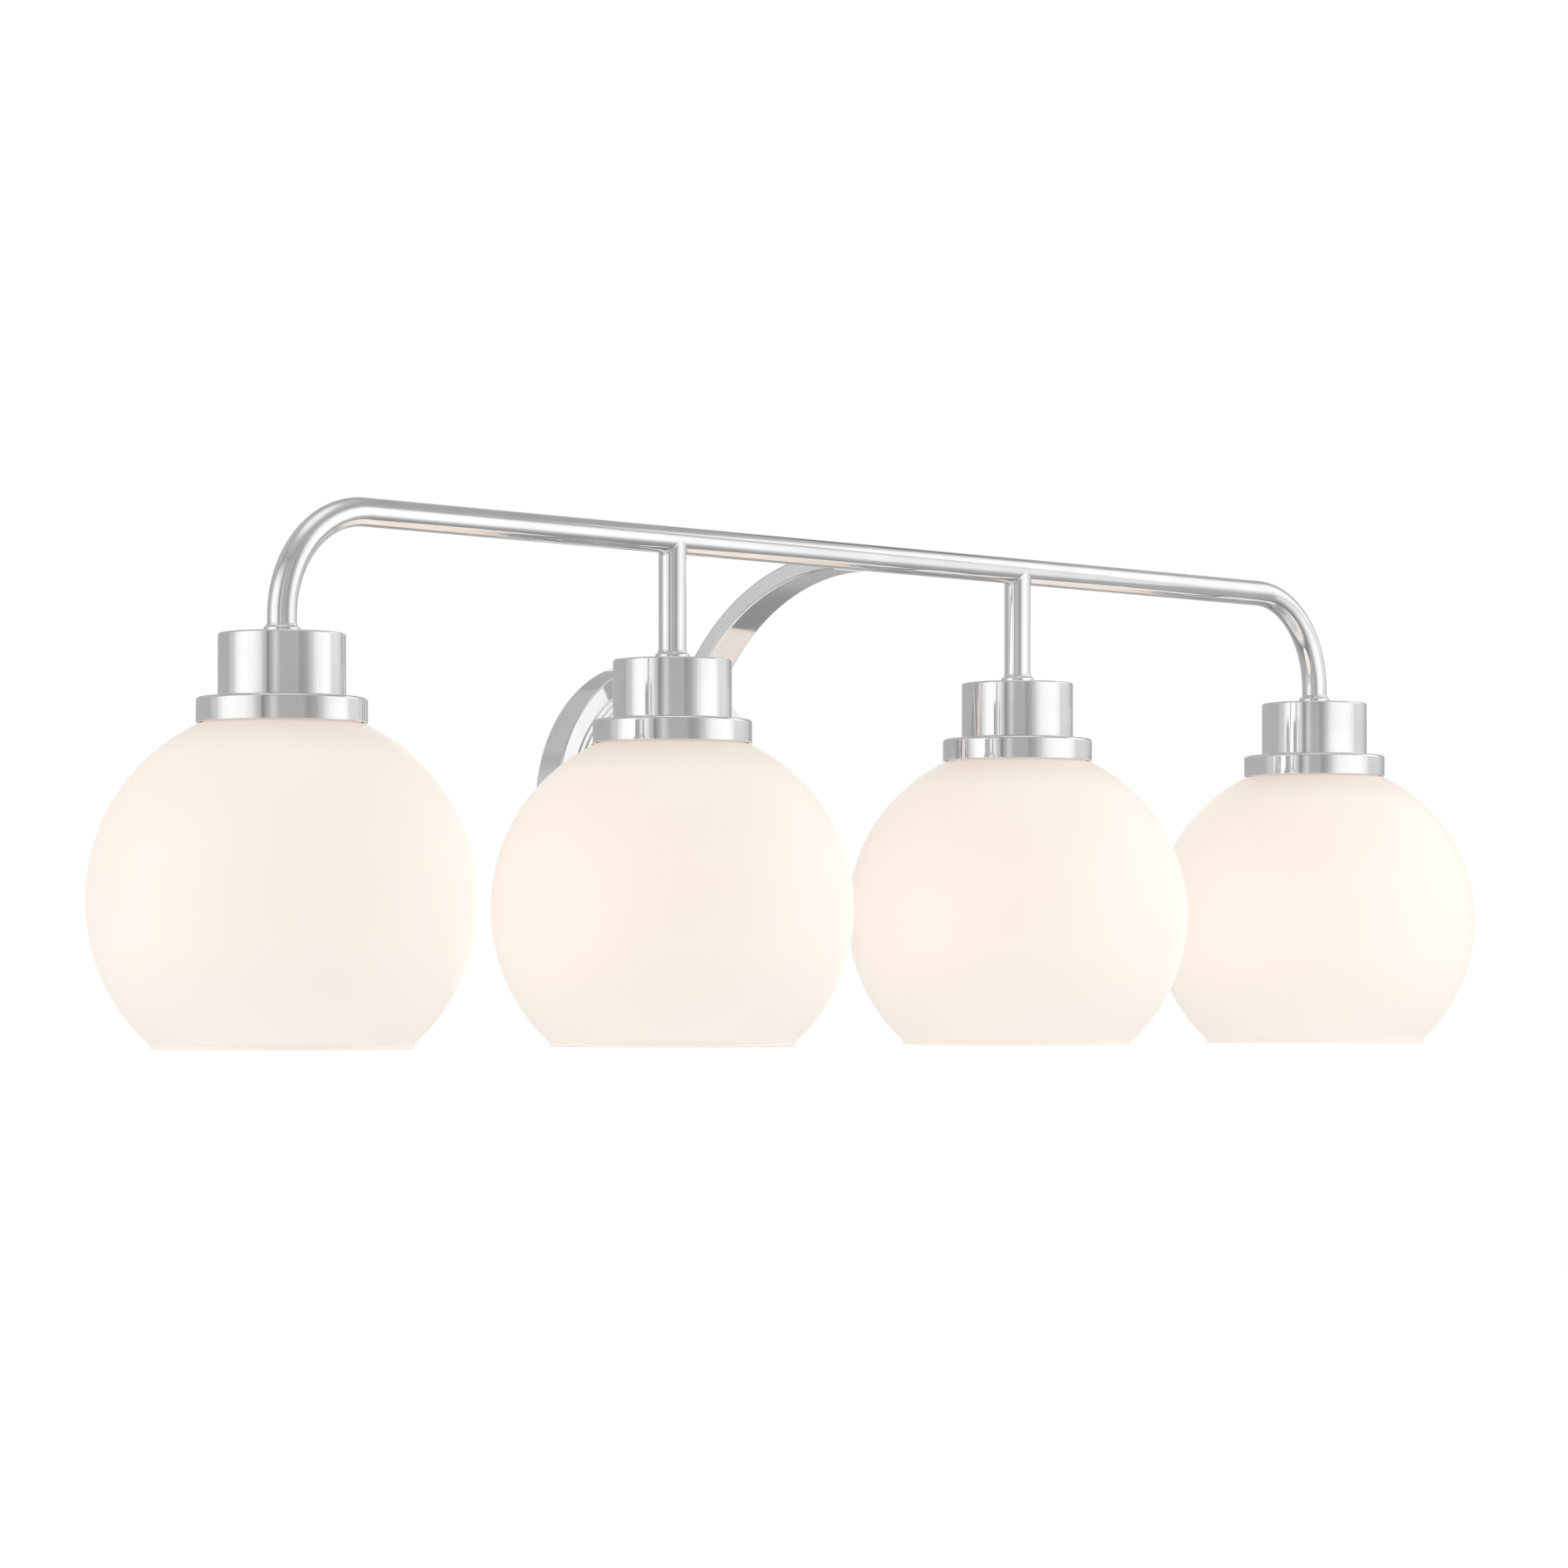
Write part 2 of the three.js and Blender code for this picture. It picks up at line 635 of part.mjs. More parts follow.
// A porcelain body: a hub on the nipple, a flange above the shade holder and a threaded skirt.
function socketGeometry() {
  const bore = NIPPLE_R + 0.4;
  const top = CUP_TOP_Z - CUP_WALL - GAP;
  const flangeZ = HOLDER_TOP_Z + GAP;
  const flangeTop = flangeZ + SOCKET_FLANGE_H;
  return turned(
    [
      [bore, top], [SOCKET_HUB_R, top], [SOCKET_HUB_R, top - SOCKET_HUB_H],
      [SOCKET_R, SOCKET_SHOULDER_Z], [SOCKET_R, flangeTop], [SOCKET_FLANGE_R, flangeTop],
      [SOCKET_FLANGE_R, flangeZ], [SOCKET_R, flangeZ], [SOCKET_R, SOCKET_BOTTOM_Z],
      [SOCKET_CAVITY_R, SOCKET_BOTTOM_Z], [SOCKET_CAVITY_R, SOCKET_CAVITY_TOP_Z],
      [bore, SOCKET_CAVITY_TOP_Z],
    ],
    TUBE_SIDES,
  );
}

function shellGeometry() {
  const top = SOCKET_CAVITY_TOP_Z - 1;
  const inner = SHELL_R - SHELL_WALL;
  return turned(
    [
      [SHELL_HOLE_R, top], [SHELL_R, top], [SHELL_R, SHELL_BOTTOM_Z], [inner, SHELL_BOTTOM_Z],
      [inner, top - SHELL_WALL], [SHELL_HOLE_R, top - SHELL_WALL],
    ],
    TUBE_SIDES,
  );
}

// A wall of even thickness: outside up from the rim, over the neck, and back down inside.
function shadeGeometry() {
  const innerR = GLOBE_R - GLASS;
  const outerLow = -THREE.MathUtils.radToDeg(Math.acos(RIM_R / GLOBE_R));
  const outerHigh = THREE.MathUtils.radToDeg(Math.acos(NECK_R / GLOBE_R));
  const innerLow = -THREE.MathUtils.radToDeg(Math.acos((RIM_R - GLASS) / innerR));
  const innerHigh = THREE.MathUtils.radToDeg(Math.acos((NECK_R - GLASS) / innerR));
  const rimZ = GLOBE_Z - Math.sqrt(GLOBE_R ** 2 - RIM_R ** 2) - RIM_LIP;
  return turned([
    [RIM_R, rimZ],
    ...arcPoints(GLOBE_R, GLOBE_Z, outerLow, 0, 4),
    ...arcPoints(GLOBE_R, GLOBE_Z, 0, outerHigh, 4).slice(1),
    [NECK_R, NECK_TOP_Z],
    [NECK_HOLE_R, NECK_TOP_Z],
    [NECK_HOLE_R, NECK_TOP_Z - GLASS],
    [NECK_R - GLASS, NECK_TOP_Z - GLASS],
    ...arcPoints(innerR, GLOBE_Z, innerHigh, 0, 3),
    ...arcPoints(innerR, GLOBE_Z, 0, innerLow, 2).slice(1),
    [RIM_R - GLASS, rimZ],
  ]);
}

function ringGeometry() {
  const bore = SOCKET_R + 0.4;
  const bottom = RING_TOP_Z - RING_H;
  return turned(
    [
      [bore, RING_TOP_Z], [RING_R, RING_TOP_Z], [RING_R, RING_TOP_Z - RING_EDGE_H],
      [RING_FOOT_R, bottom], [bore, bottom],
    ],
    RING_SIDES,
  );
}

// A hollow pear-shaped bulb, open only at the tip of its base.
function bulbGeometry() {
  const baseInnerR = BULB_BASE_R - BULB_WALL;
  const [, [neckR, neckZ]] = BULB_NECK;
  return turned(
    [
      ...arcPoints(BULB_R, BULB_CENTRE_Z, -90, 0, 3),
      ...BULB_NECK,
      [BULB_BASE_R, BULB_BASE_Z],
      [BULB_BASE_R, BULB_TOP_Z - 3],
      [BULB_TIP_R, BULB_TOP_Z],
      [BULB_TIP_HOLE_R, BULB_TOP_Z],
      [BULB_TIP_HOLE_R, BULB_TOP_Z - 2],
      [baseInnerR, BULB_TOP_Z - 5],
      [baseInnerR, BULB_BASE_Z],
      [neckR - BULB_WALL, neckZ],
      ...arcPoints(BULB_R - BULB_WALL, BULB_CENTRE_Z, 0, -90, 3),
    ],
    TUBE_SIDES,
  );
}

function lightAssembly(number) {
  const group = new THREE.Group();
  group.position.set(LIGHT_X[number - 1], BAR_Y, 0);
  group.add(mesh(`stem_collar_${number}`, collarGeometry(), chrome));
  group.add(mesh(`stem_nipple_${number}`, nippleGeometry(), zincSteel));
  group.add(mesh(`socket_cup_${number}`, cupGeometry(), chrome));
  group.add(mesh(`shade_holder_${number}`, holderGeometry(), chrome));
  group.add(mesh(`lamp_socket_${number}`, socketGeometry(), porcelain));
  group.add(mesh(`screw_shell_${number}`, shellGeometry(), brass));
  group.add(mesh(`glass_shade_${number}`, shadeGeometry(), opalGlass));
  group.add(mesh(`retaining_ring_${number}`, ringGeometry(), phenolic));
  group.add(mesh(`bulb_${number}`, bulbGeometry(), bulbGlass));
  return group;
}

// ---- leads --------------------------------------------------------------------------------

// From a socket, up its stem, along the bar, down the arm and into a connector in the plate.
function leadRoute(lightX, isMiddle) {
  const side = Math.sign(lightX);
  const y = isMiddle ? BAR_Y - LEAD_OFFSET_Y : BAR_Y;
  const armX = side * LEAD_X[isMiddle ? 1 : 0];
  const nutX = side * (WIRE_NUT_X + (isMiddle ? -1.4 : 1.4));
  const start = [lightX, BAR_Y, NIPPLE_BOTTOM_Z];
  const shift = [
    [lightX, BAR_Y, NIPPLE_TOP_Z + 3, 20],
    [lightX, y, NIPPLE_TOP_Z + 28, 20],
  ];
  return new Route(
    [
      start,
      ...(isMiddle ? shift : []),
      [lightX, y, LEAD_Z, isMiddle ? 4 : BEND_R - 1],
      [armX, y, LEAD_Z, 3.4],
      [armX, ARM_DROP_Y, LEAD_Z, ARM_RADIUS - 1.5],
      [armX, ARM_DROP_Y, SLOT_Z, 3.6],
      [armX, LEAD_PLATE_Y, SLOT_Z, 4],
      [nutX, WIRE_NUT_Y, WIRE_NUT_Z - 4, 5],
      [nutX, WIRE_NUT_Y, WIRE_NUT_Z + 5],
    ],
    LEAD_BEND_STEPS,
  );
}

function wireNutGeometry() {
  const [boreR, boreH] = WIRE_NUT_BORE;
  const mouth = [[0, boreH], [boreR, boreH], [boreR, 0]];
  return turned([...mouth, ...WIRE_NUT_OUTLINE], TUBE_SIDES);
}

function wiring() {
  const group = new THREE.Group();
  LIGHT_X.forEach((x, i) => {
    const route = leadRoute(x, i === 1 || i === 2);
    const geometry = swept(circleShape(LEAD_R, LEAD_SIDES), route);
    group.add(mesh(`lead_${i + 1}`, geometry, leadPlastic));
  });
  for (const [side, x] of [["left", -WIRE_NUT_X], ["right", WIRE_NUT_X]]) {
    const nut = mesh(`wire_nut_${side}`, wireNutGeometry(), nutPlastic);
    nut.position.set(x, WIRE_NUT_Y, WIRE_NUT_Z);
    group.add(nut);
  }
  return group;
}

// ---- the whole light bar ------------------------------------------------------------------

const vanityLight = new THREE.Group();
vanityLight.add(wallSide(), armAssembly());
vanityLight.add(mesh("bar_tube", barGeometry(), chrome));
vanityLight.add(mesh("middle_stem_left", stemGeometry(LIGHT_X[1]), chrome));
vanityLight.add(mesh("middle_stem_right", stemGeometry(LIGHT_X[2]), chrome));
for (let number = 1; number <= LIGHT_X.length; number++) vanityLight.add(lightAssembly(number));
vanityLight.add(wiring());

export default vanityLight;
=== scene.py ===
# The finished look of a four-light vanity bar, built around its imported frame.
#
# Metres. X runs along the bar, Y points into the wall, Z is up. Places and sizes come from the
# frame's boxes; sizes that a box doesn't hold are named below in millimetres, times MM.

import math

import bmesh
import bpy
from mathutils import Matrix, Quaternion, Vector


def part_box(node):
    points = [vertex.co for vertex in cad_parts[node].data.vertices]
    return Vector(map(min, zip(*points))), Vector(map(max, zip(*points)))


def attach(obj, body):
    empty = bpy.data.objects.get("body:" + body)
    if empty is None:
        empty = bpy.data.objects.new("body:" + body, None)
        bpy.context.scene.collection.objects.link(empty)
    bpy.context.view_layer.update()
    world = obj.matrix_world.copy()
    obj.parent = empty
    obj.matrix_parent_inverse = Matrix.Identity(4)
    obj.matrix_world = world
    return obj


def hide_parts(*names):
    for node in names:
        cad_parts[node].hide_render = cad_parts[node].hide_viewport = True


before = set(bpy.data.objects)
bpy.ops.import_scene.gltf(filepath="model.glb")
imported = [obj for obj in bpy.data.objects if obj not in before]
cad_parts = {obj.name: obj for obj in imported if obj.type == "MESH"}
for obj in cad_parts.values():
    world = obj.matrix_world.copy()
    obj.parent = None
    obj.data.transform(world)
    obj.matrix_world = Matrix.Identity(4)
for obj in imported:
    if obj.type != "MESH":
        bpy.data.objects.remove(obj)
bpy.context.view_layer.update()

MM = 0.001
LIGHTS = (1, 2, 3, 4)
SIDES = ("left", "right")

# ---- sizes that the frame's boxes don't give -------------------------------------------------

TURN_SEGMENTS = 128  # round the large turned pieces
MID_SEGMENTS = 96
TUBE_SEGMENTS = 48

BAR_BEND_R = 45 * MM
TUBE_WALL = 1.2 * MM
WELD_R = 1.3 * MM  # fillet where a stem meets the bar

ARM_BEND_R = 106 * MM
ARM_THICK = 8.1 * MM
ARM_EDGE_R = 1.1 * MM

SHEET = 1.2 * MM  # spun chrome sheet
CUP_EDGE_R = 0.9 * MM
ROLLED_EDGE_R = 1.5 * MM  # the cup's foot and the holder's shoulder

GLOBE_GLASS = 3 * MM
GLOBE_RIM_R = 53.3 * MM
GLOBE_RIM_LIP = 1.9 * MM
GLOBE_NECK_R = 30.5 * MM
GLOBE_NECK_HOLE_R = 21.3 * MM

SOCKET_SKIRT_R = 19.4 * MM
SOCKET_CAVITY_R = 15.3 * MM
THREAD_PITCH = 3.63 * MM  # of a medium-base lamp

PLATE_RING_DEPTH = 14.5 * MM
PLATE_TIERS = 6
PLATE_TIER_R = 60.6 * MM  # foot of the outermost tier
PLATE_TIER_STEP = 2.1 * MM

STUD_R = 2 * MM
STUD_PITCH = 0.8 * MM
HEX_FLAT = math.cos(math.pi / 6)  # half width across flats, for corners at 1


# ---- mesh helpers ------------------------------------------------------------------------------


def span(node):
    """A CAD node's lowest, highest and middle points."""
    low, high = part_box(node)
    return low, high, (low + high) / 2


def new_piece(name, points, faces, material, body="root", replaces=()):
    """A smooth mesh piece that rides on a body and may stand for CAD nodes."""
    mesh = bpy.data.meshes.new(name)
    mesh.from_pydata([tuple(p) for p in points], [], faces)
    work = bmesh.new()
    work.from_mesh(mesh)
    bmesh.ops.remove_doubles(work, verts=work.verts, dist=1e-7)
    bmesh.ops.dissolve_degenerate(work, edges=work.edges, dist=1e-8)
    bmesh.ops.recalc_face_normals(work, faces=work.faces)
    for face in work.faces:
        face.smooth = True
    work.to_mesh(mesh)
    work.free()
    obj = bpy.data.objects.new(name, mesh)
    bpy.context.scene.collection.objects.link(obj)
    finish_piece(obj, material, body, replaces)
    return obj


def finish_piece(obj, material, body, replaces):
    obj.data.materials.clear()
    obj.data.materials.append(material)
    weighted = obj.modifiers.new("even shading", "WEIGHTED_NORMAL")
    weighted.mode = "FACE_AREA"
    weighted.weight = 50
    weighted.thresh = 0.01
    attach(obj, body)
    if replaces:
        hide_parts(*replaces)


def grid_faces(rows, columns, close_rows, close_columns):
    faces = []
    for i in range(rows if close_rows else rows - 1):
        for j in range(columns if close_columns else columns - 1):
            a = i * columns + j
            b = i * columns + (j + 1) % columns
            c = ((i + 1) % rows) * columns + (j + 1) % columns
            d = ((i + 1) % rows) * columns + j
            faces.append((a, b, c, d))
    return faces


def rounded(corners, steps=6, closed=True):
    """An outline through corners (x, y, radius), each rounded to its radius, or sharp without one."""
    count = len(corners)
    outline = []
    for i, corner in enumerate(corners):
        here = Vector(corner[:2])
        radius = corner[2] if len(corner) > 2 else 0
        if radius <= 0 or (not closed and i in (0, count - 1)):
            outline.append(here)
            continue
        before = Vector(corners[i - 1][:2]) - here
        after = Vector(corners[(i + 1) % count][:2]) - here
        half = before.angle(after) / 2
        room = 0.49 * min(before.length, after.length)
        reach = min(radius / math.tan(half), room)
        radius = reach * math.tan(half)
        before.normalize()
        after.normalize()
        centre = here + (before + after).normalized() * radius / math.sin(half)
        start = here + before * reach - centre
        end = here + after * reach - centre
        turn = start.angle_signed(end)
        for k in range(steps + 1):
            angle = -turn * k / steps
            cos, sin = math.cos(angle), math.sin(angle)
            spoke = Vector((start.x * cos - start.y * sin, start.x * sin + start.y * cos))
            outline.append(centre + spoke)
    return [(p.x, p.y) for p in outline]


def arc(radius, centre_height, start, end, steps):
    """Points of a circle about the axis, from one angle to another in degrees above level."""
    made = []
    for k in range(steps + 1):
        angle = math.radians(start + (end - start) * k / steps)
        made.append((radius * math.cos(angle), centre_height + radius * math.sin(angle)))
    return made


def turned_points(profile, segments, centre, axis="Z", ripple=None):
    """A profile of (radius, height) turned about an axis. ripple(radius, height, angle) may change
    the radius."""
    points = []
    for r, h in profile:
        for j in range(segments):
            angle = 2 * math.pi * j / segments
            here = ripple(r, h, angle) if ripple else r
            x, y = here * math.cos(angle), here * math.sin(angle)
            if axis == "Z":
                points.append((centre[0] + x, centre[1] + y, h))
            else:
                points.append((centre[0] + x, -h, centre[1] + y))
    return points


def turned(name, profile, material, centre, axis="Z", segments=TURN_SEGMENTS, ripple=None,
           body="root", replaces=()):
    """A turned piece. About Z, heights are Z. About Y, heights are depths from the wall."""
    points = turned_points(profile, segments, centre, axis, ripple)
    on_axis = profile[0][0] < 1e-9 and profile[-1][0] < 1e-9
    faces = grid_faces(len(profile), segments, not on_axis, True)
    return new_piece(name, points, faces, material, body, replaces)


def rounded_path(corners, steps):
    """Points along straight runs through corners (x, y, z, bend radius), with each bend in equal steps."""
    at = [Vector(c[:3]) for c in corners]
    path = [at[0]]
    for i in range(1, len(at) - 1):
        into = (at[i] - at[i - 1]).normalized()
        out = (at[i + 1] - at[i]).normalized()
        turn = into.angle(out)
        radius = corners[i][3]
        start = at[i] - into * radius * math.tan(turn / 2)
        axis = into.cross(out).normalized()
        centre = start + axis.cross(into) * radius
        for k in range(steps + 1):
            path.append(centre + Quaternion(axis, turn * k / steps) @ (start - centre))
    path.append(at[-1])
    return path


def tangents(path):
    made = []
    for i, here in enumerate(path):
        before = path[max(i - 1, 0)]
        after = path[min(i + 1, len(path) - 1)]
        into = (here - before).normalized() if i else Vector((0, 0, 0))
        out = (after - here).normalized() if i < len(path) - 1 else Vector((0, 0, 0))
        made.append((into + out).normalized())
    return made


def held_ends(path, length=0.2 * MM):
    """A path with a short step at both ends, so that its end caps don't bend the shading of its sides."""
    first = path[0] + (path[1] - path[0]).normalized() * length
    last = path[-1] + (path[-2] - path[-1]).normalized() * length
    return [path[0], first, *path[1:-1], last, path[-1]]


def swept_rows(path, section, side):
    """Rows of points: a section of (across, out) carried along a path. side is the first row's across
    direction."""
    rows = []
    across = Vector(side)
    for here, along in zip(path, tangents(path)):
        across = (across - along * across.dot(along)).normalized()
        out = along.cross(across)
        rows.append([here + across * x + out * y for x, y in section])
    return rows


def swept(name, path, section, side, material, replaces=(), inner=None):
    """A solid, or with an inner section a tube, along a path."""
    path = held_ends(path)
    rows = swept_rows(path, section, side)
    columns = len(section)
    if inner:
        rows += list(reversed(swept_rows(path, inner, side)))
        faces = grid_faces(len(rows), columns, True, True)
    else:
        faces = grid_faces(len(rows), columns, False, True)
        faces.append(tuple(range(columns)))
        faces.append(tuple(range((len(rows) - 1) * columns, len(rows) * columns)))
    points = [p for row in rows for p in row]
    return new_piece(name, points, faces, material, replaces=replaces)


def circle(radius, segments=TUBE_SEGMENTS):
    turns = [2 * math.pi * k / segments for k in range(segments)]
    return [(radius * math.cos(a), radius * math.sin(a)) for a in turns]


def applied(obj):
    """Replaces the mesh of a piece by what its modifiers make of it."""
    evaluated = obj.evaluated_get(bpy.context.evaluated_depsgraph_get())
    mesh = bpy.data.meshes.new_from_object(evaluated)
    obj.modifiers.clear()
    obj.data = mesh
    return obj


def cut_box(obj, low, high, edge=0.0):
    """Cuts a box, with its edges along Y rounded, out of a piece."""
    width, height = (high.x - low.x) / 2, (high.z - low.z) / 2
    outline = rounded([(-width, -height, edge), (width, -height, edge), (width, height, edge),
                       (-width, height, edge)])
    mid_x, mid_z = (low.x + high.x) / 2, (low.z + high.z) / 2
    points = [(mid_x + x, y, mid_z + z) for y in (low.y, high.y) for x, z in outline]
    count = len(outline)
    faces = grid_faces(2, count, False, True)
    faces += [tuple(range(count)), tuple(range(count, 2 * count))]
    mesh = bpy.data.meshes.new("cutter")
    mesh.from_pydata(points, [], faces)
    work = bmesh.new()
    work.from_mesh(mesh)
    bmesh.ops.recalc_face_normals(work, faces=work.faces)
    work.to_mesh(mesh)
    work.free()
    cutter = bpy.data.objects.new("cutter", mesh)
    bpy.context.scene.collection.objects.link(cutter)
    boolean = obj.modifiers.new("cut", "BOOLEAN")
    boolean.object = cutter
    boolean.operation = "DIFFERENCE"
    boolean.solver = "EXACT"
    material = obj.data.materials[0]
    applied(obj)
    obj.data.materials.clear()
    obj.data.materials.append(material)
    for polygon in obj.data.polygons:
        polygon.use_smooth = True
        polygon.material_index = 0
    bpy.data.objects.remove(cutter)
    return obj


# ---- materials -----------------------------------------------------------------------------------


class Finish:
    """A Principled material whose colour, roughness and relief come from procedural textures."""

    def __init__(self, name, **uniform):
        self.material = bpy.data.materials.new(name)
        self.material.use_nodes = True
        self.tree = self.material.node_tree
        self.shader = self.tree.nodes["Principled BSDF"]
        self.place = self.node("ShaderNodeTexCoord")
        for socket, value in uniform.items():
            self.shader.inputs[socket.replace("_", " ")].default_value = value

    def node(self, kind, **inputs):
        made = self.tree.nodes.new(kind)
        for socket, value in inputs.items():
            made.inputs[socket].default_value = value
        return made

    def link(self, source, target):
        self.tree.links.new(source, target)

    def noise(self, scale, detail, stretch=(1, 1, 1)):
        mapping = self.node("ShaderNodeMapping")
        mapping.inputs["Scale"].default_value = stretch
        self.link(self.place.outputs["Object"], mapping.inputs["Vector"])
        noise = self.node("ShaderNodeTexNoise", Scale=scale, Detail=detail)
        self.link(mapping.outputs["Vector"], noise.inputs["Vector"])
        return noise.outputs["Fac"]

    def ramp(self, source, stops):
        """Colours at places from 0 to 1."""
        ramp = self.node("ShaderNodeValToRGB")
        elements = ramp.color_ramp.elements
        while len(elements) < len(stops):
            elements.new(0.5)
        for element, (place, colour) in zip(elements, stops):
            element.position = place
            element.color = (*colour, 1)
        self.link(source, ramp.inputs["Fac"])
        return ramp.outputs["Color"]

    def spread(self, source, low, high):
        """A value from low to high as the source goes through its usual range."""
        made = self.node("ShaderNodeMapRange")
        made.inputs["From Min"].default_value = 0.3
        made.inputs["From Max"].default_value = 0.7
        made.inputs["To Min"].default_value = low
        made.inputs["To Max"].default_value = high
        self.link(source, made.inputs["Value"])
        return made.outputs["Result"]

    def colour(self, source):
        self.link(source, self.shader.inputs["Base Color"])

    def roughness(self, source):
        self.link(source, self.shader.inputs["Roughness"])

    def relief(self, source, depth, strength):
        bump = self.node("ShaderNodeBump", Strength=strength, Distance=depth)
        self.link(source, bump.inputs["Height"])
        self.link(bump.outputs["Normal"], self.shader.inputs["Normal"])


def textured(name, colours, roughness, relief, **uniform):
    """A finish of three noises, each with its scale and detail first: the stops of its colours, the
    range of its roughness, and the depth and strength of its relief."""
    made = Finish(name, **uniform)
    scale, detail, stops = colours
    made.colour(made.ramp(made.noise(scale, detail), stops))
    scale, detail, low, high = roughness
    made.roughness(made.spread(made.noise(scale, detail), low, high))
    scale, detail, depth, strength = relief
    made.relief(made.noise(scale, detail), depth, strength)
    return made.material

def opal_finish(name, lit):
    """Etched opal glass: cream, satin, with faint clouding; its colour darkens towards the neck as painted
    shade under the holder, and it carries a painted glow for the bulb's light through the glass, dimmer
    towards the neck. lit is the strength of that painted glow."""
    made = Finish(name, Metallic=0.0, IOR=1.5, Coat_Weight=0.12, Coat_Roughness=0.28,
                  Emission_Strength=lit)
    split = made.node("ShaderNodeSeparateXYZ")
    made.link(made.place.outputs["Generated"], split.inputs[0])
    height = split.outputs["Z"]
    # painted shade: the glass colour darkens towards the neck, where the holder shades it
    stops = [(0.0, (0.93, 0.865, 0.80)), (0.55, (0.93, 0.87, 0.81)), (0.86, (0.88, 0.815, 0.75)),
             (1.0, (0.76, 0.69, 0.62))]
    body = made.ramp(height, stops)
    mix = made.node("ShaderNodeMix")
    mix.data_type = "RGBA"
    mix.blend_type = "MULTIPLY"
    mix.inputs["Factor"].default_value = 0.5
    cloud = made.ramp(made.noise(14, 3), [(0.3, (0.965, 0.955, 0.95)), (0.7, (1.0, 1.0, 1.0))])
    made.link(body, mix.inputs["A"])
    made.link(cloud, mix.inputs["B"])
    made.colour(mix.outputs["Result"])
    # painted glow: the bulb's light coming through the glass, brightest a little below the middle and
    # dimmer up to the neck, where the holder shades it
    painted_glow = made.ramp(height, [(0.0, (0.74, 0.67, 0.6)), (0.3, (0.82, 0.725, 0.645)),
                              (0.5, (0.79, 0.68, 0.6)), (0.68, (0.76, 0.66, 0.58)),
                              (0.84, (0.75, 0.65, 0.565)), (0.92, (0.64, 0.545, 0.47)),
                              (1.0, (0.35, 0.3, 0.255))])
    made.link(painted_glow, made.shader.inputs["Emission Color"])
    made.roughness(made.spread(made.noise(420, 3), 0.36, 0.48))
    made.relief(made.noise(1500, 2), 0.02 * MM, 0.35)
    return made.material


def brass_finish():
    made = Finish("drawn_brass", Metallic=1.0)
    made.colour(made.ramp(made.noise(160, 5), [(0.3, (0.62, 0.46, 0.20)), (0.7, (0.80, 0.62, 0.30))]))
    made.roughness(made.spread(made.noise(300, 4, (1, 1, 6)), 0.2, 0.38))
    made.relief(made.noise(900, 3, (1, 1, 8)), 0.01 * MM, 0.5)
    return made.material


def zinc_finish():
    """Zinc plate: a grey metal with soft spangle and drawing marks."""
    made = Finish("zinc_plate", Metallic=1.0)
    spangle = made.noise(240, 5)
    made.colour(made.ramp(spangle, [(0.3, (0.48, 0.49, 0.49)), (0.5, (0.60, 0.61, 0.60)),
                                    (0.7, (0.70, 0.70, 0.67))]))
    made.roughness(made.spread(spangle, 0.24, 0.46))
    made.relief(made.noise(800, 4, (0.25, 1, 1)), 0.02 * MM, 0.5)
    return made.material


def sleeve_finish():
    """A braided glass sleeve: fine crossing ribs."""
    made = Finish("braided_sleeve", Sheen_Weight=0.2)
    wave = made.node("ShaderNodeTexWave", Scale=1300.0, Distortion=1.5)
    made.link(made.place.outputs["Object"], wave.inputs["Vector"])
    made.colour(made.ramp(wave.outputs["Fac"], [(0.2, (0.62, 0.60, 0.54)), (0.8, (0.84, 0.82, 0.76))]))
    made.roughness(made.spread(made.noise(900, 3), 0.6, 0.8))
    made.relief(wave.outputs["Fac"], 0.08 * MM, 0.6)
    return made.material


# Bright plating: almost a mirror, with a trace of haze and of the polisher's waviness
CHROME = textured(
    "chrome_plate", (38, 4, [(0.35, (0.86, 0.865, 0.875)), (0.65, (0.93, 0.932, 0.94))]),
    (140, 5, 0.035, 0.085), (60, 1, 0.02 * MM, 0.25), Metallic=1.0)
# The outer glass and a copy for its inside faces differ only in the strength of their painted glow: the
# inside glows dimmer.
OPAL = opal_finish("opal_glass", 0.57)
OPAL_INSIDE_DIMMER_GLOW = opal_finish("opal_glass_inside_dimmer_glow", 0.22)
BULB = textured(
    "bulb_coated_glass", (90, 4, [(0.3, (0.9, 0.88, 0.84)), (0.7, (0.95, 0.94, 0.91))]),
    (700, 3, 0.28, 0.42), (2200, 2, 0.01 * MM, 0.3), IOR=1.5, Coat_Weight=0.3, Coat_Roughness=0.1,
    Emission_Strength=0.35, Emission_Color=(1.0, 0.9, 0.78, 1))
PORCELAIN = textured(
    "socket_porcelain", (120, 5, [(0.35, (0.80, 0.78, 0.73)), (0.65, (0.87, 0.86, 0.82))]),
    (260, 3, 0.22, 0.4), (500, 3, 0.05 * MM, 0.4), IOR=1.52, Coat_Weight=0.5, Coat_Roughness=0.08)
PHENOLIC = textured(
    "ring_phenolic", (200, 5, [(0.35, (0.78, 0.76, 0.70)), (0.65, (0.84, 0.82, 0.77))]),
    (600, 3, 0.38, 0.55), (1200, 3, 0.03 * MM, 0.4), IOR=1.5)
BRASS = brass_finish()
ZINC = zinc_finish()
GREEN = textured(
    "green_ground_screw", (500, 4, [(0.3, (0.04, 0.24, 0.09)), (0.7, (0.09, 0.36, 0.14))]),
    (700, 3, 0.28, 0.45), (1500, 2, 0.01 * MM, 0.4), Metallic=0.85)
SLEEVE = sleeve_finish()
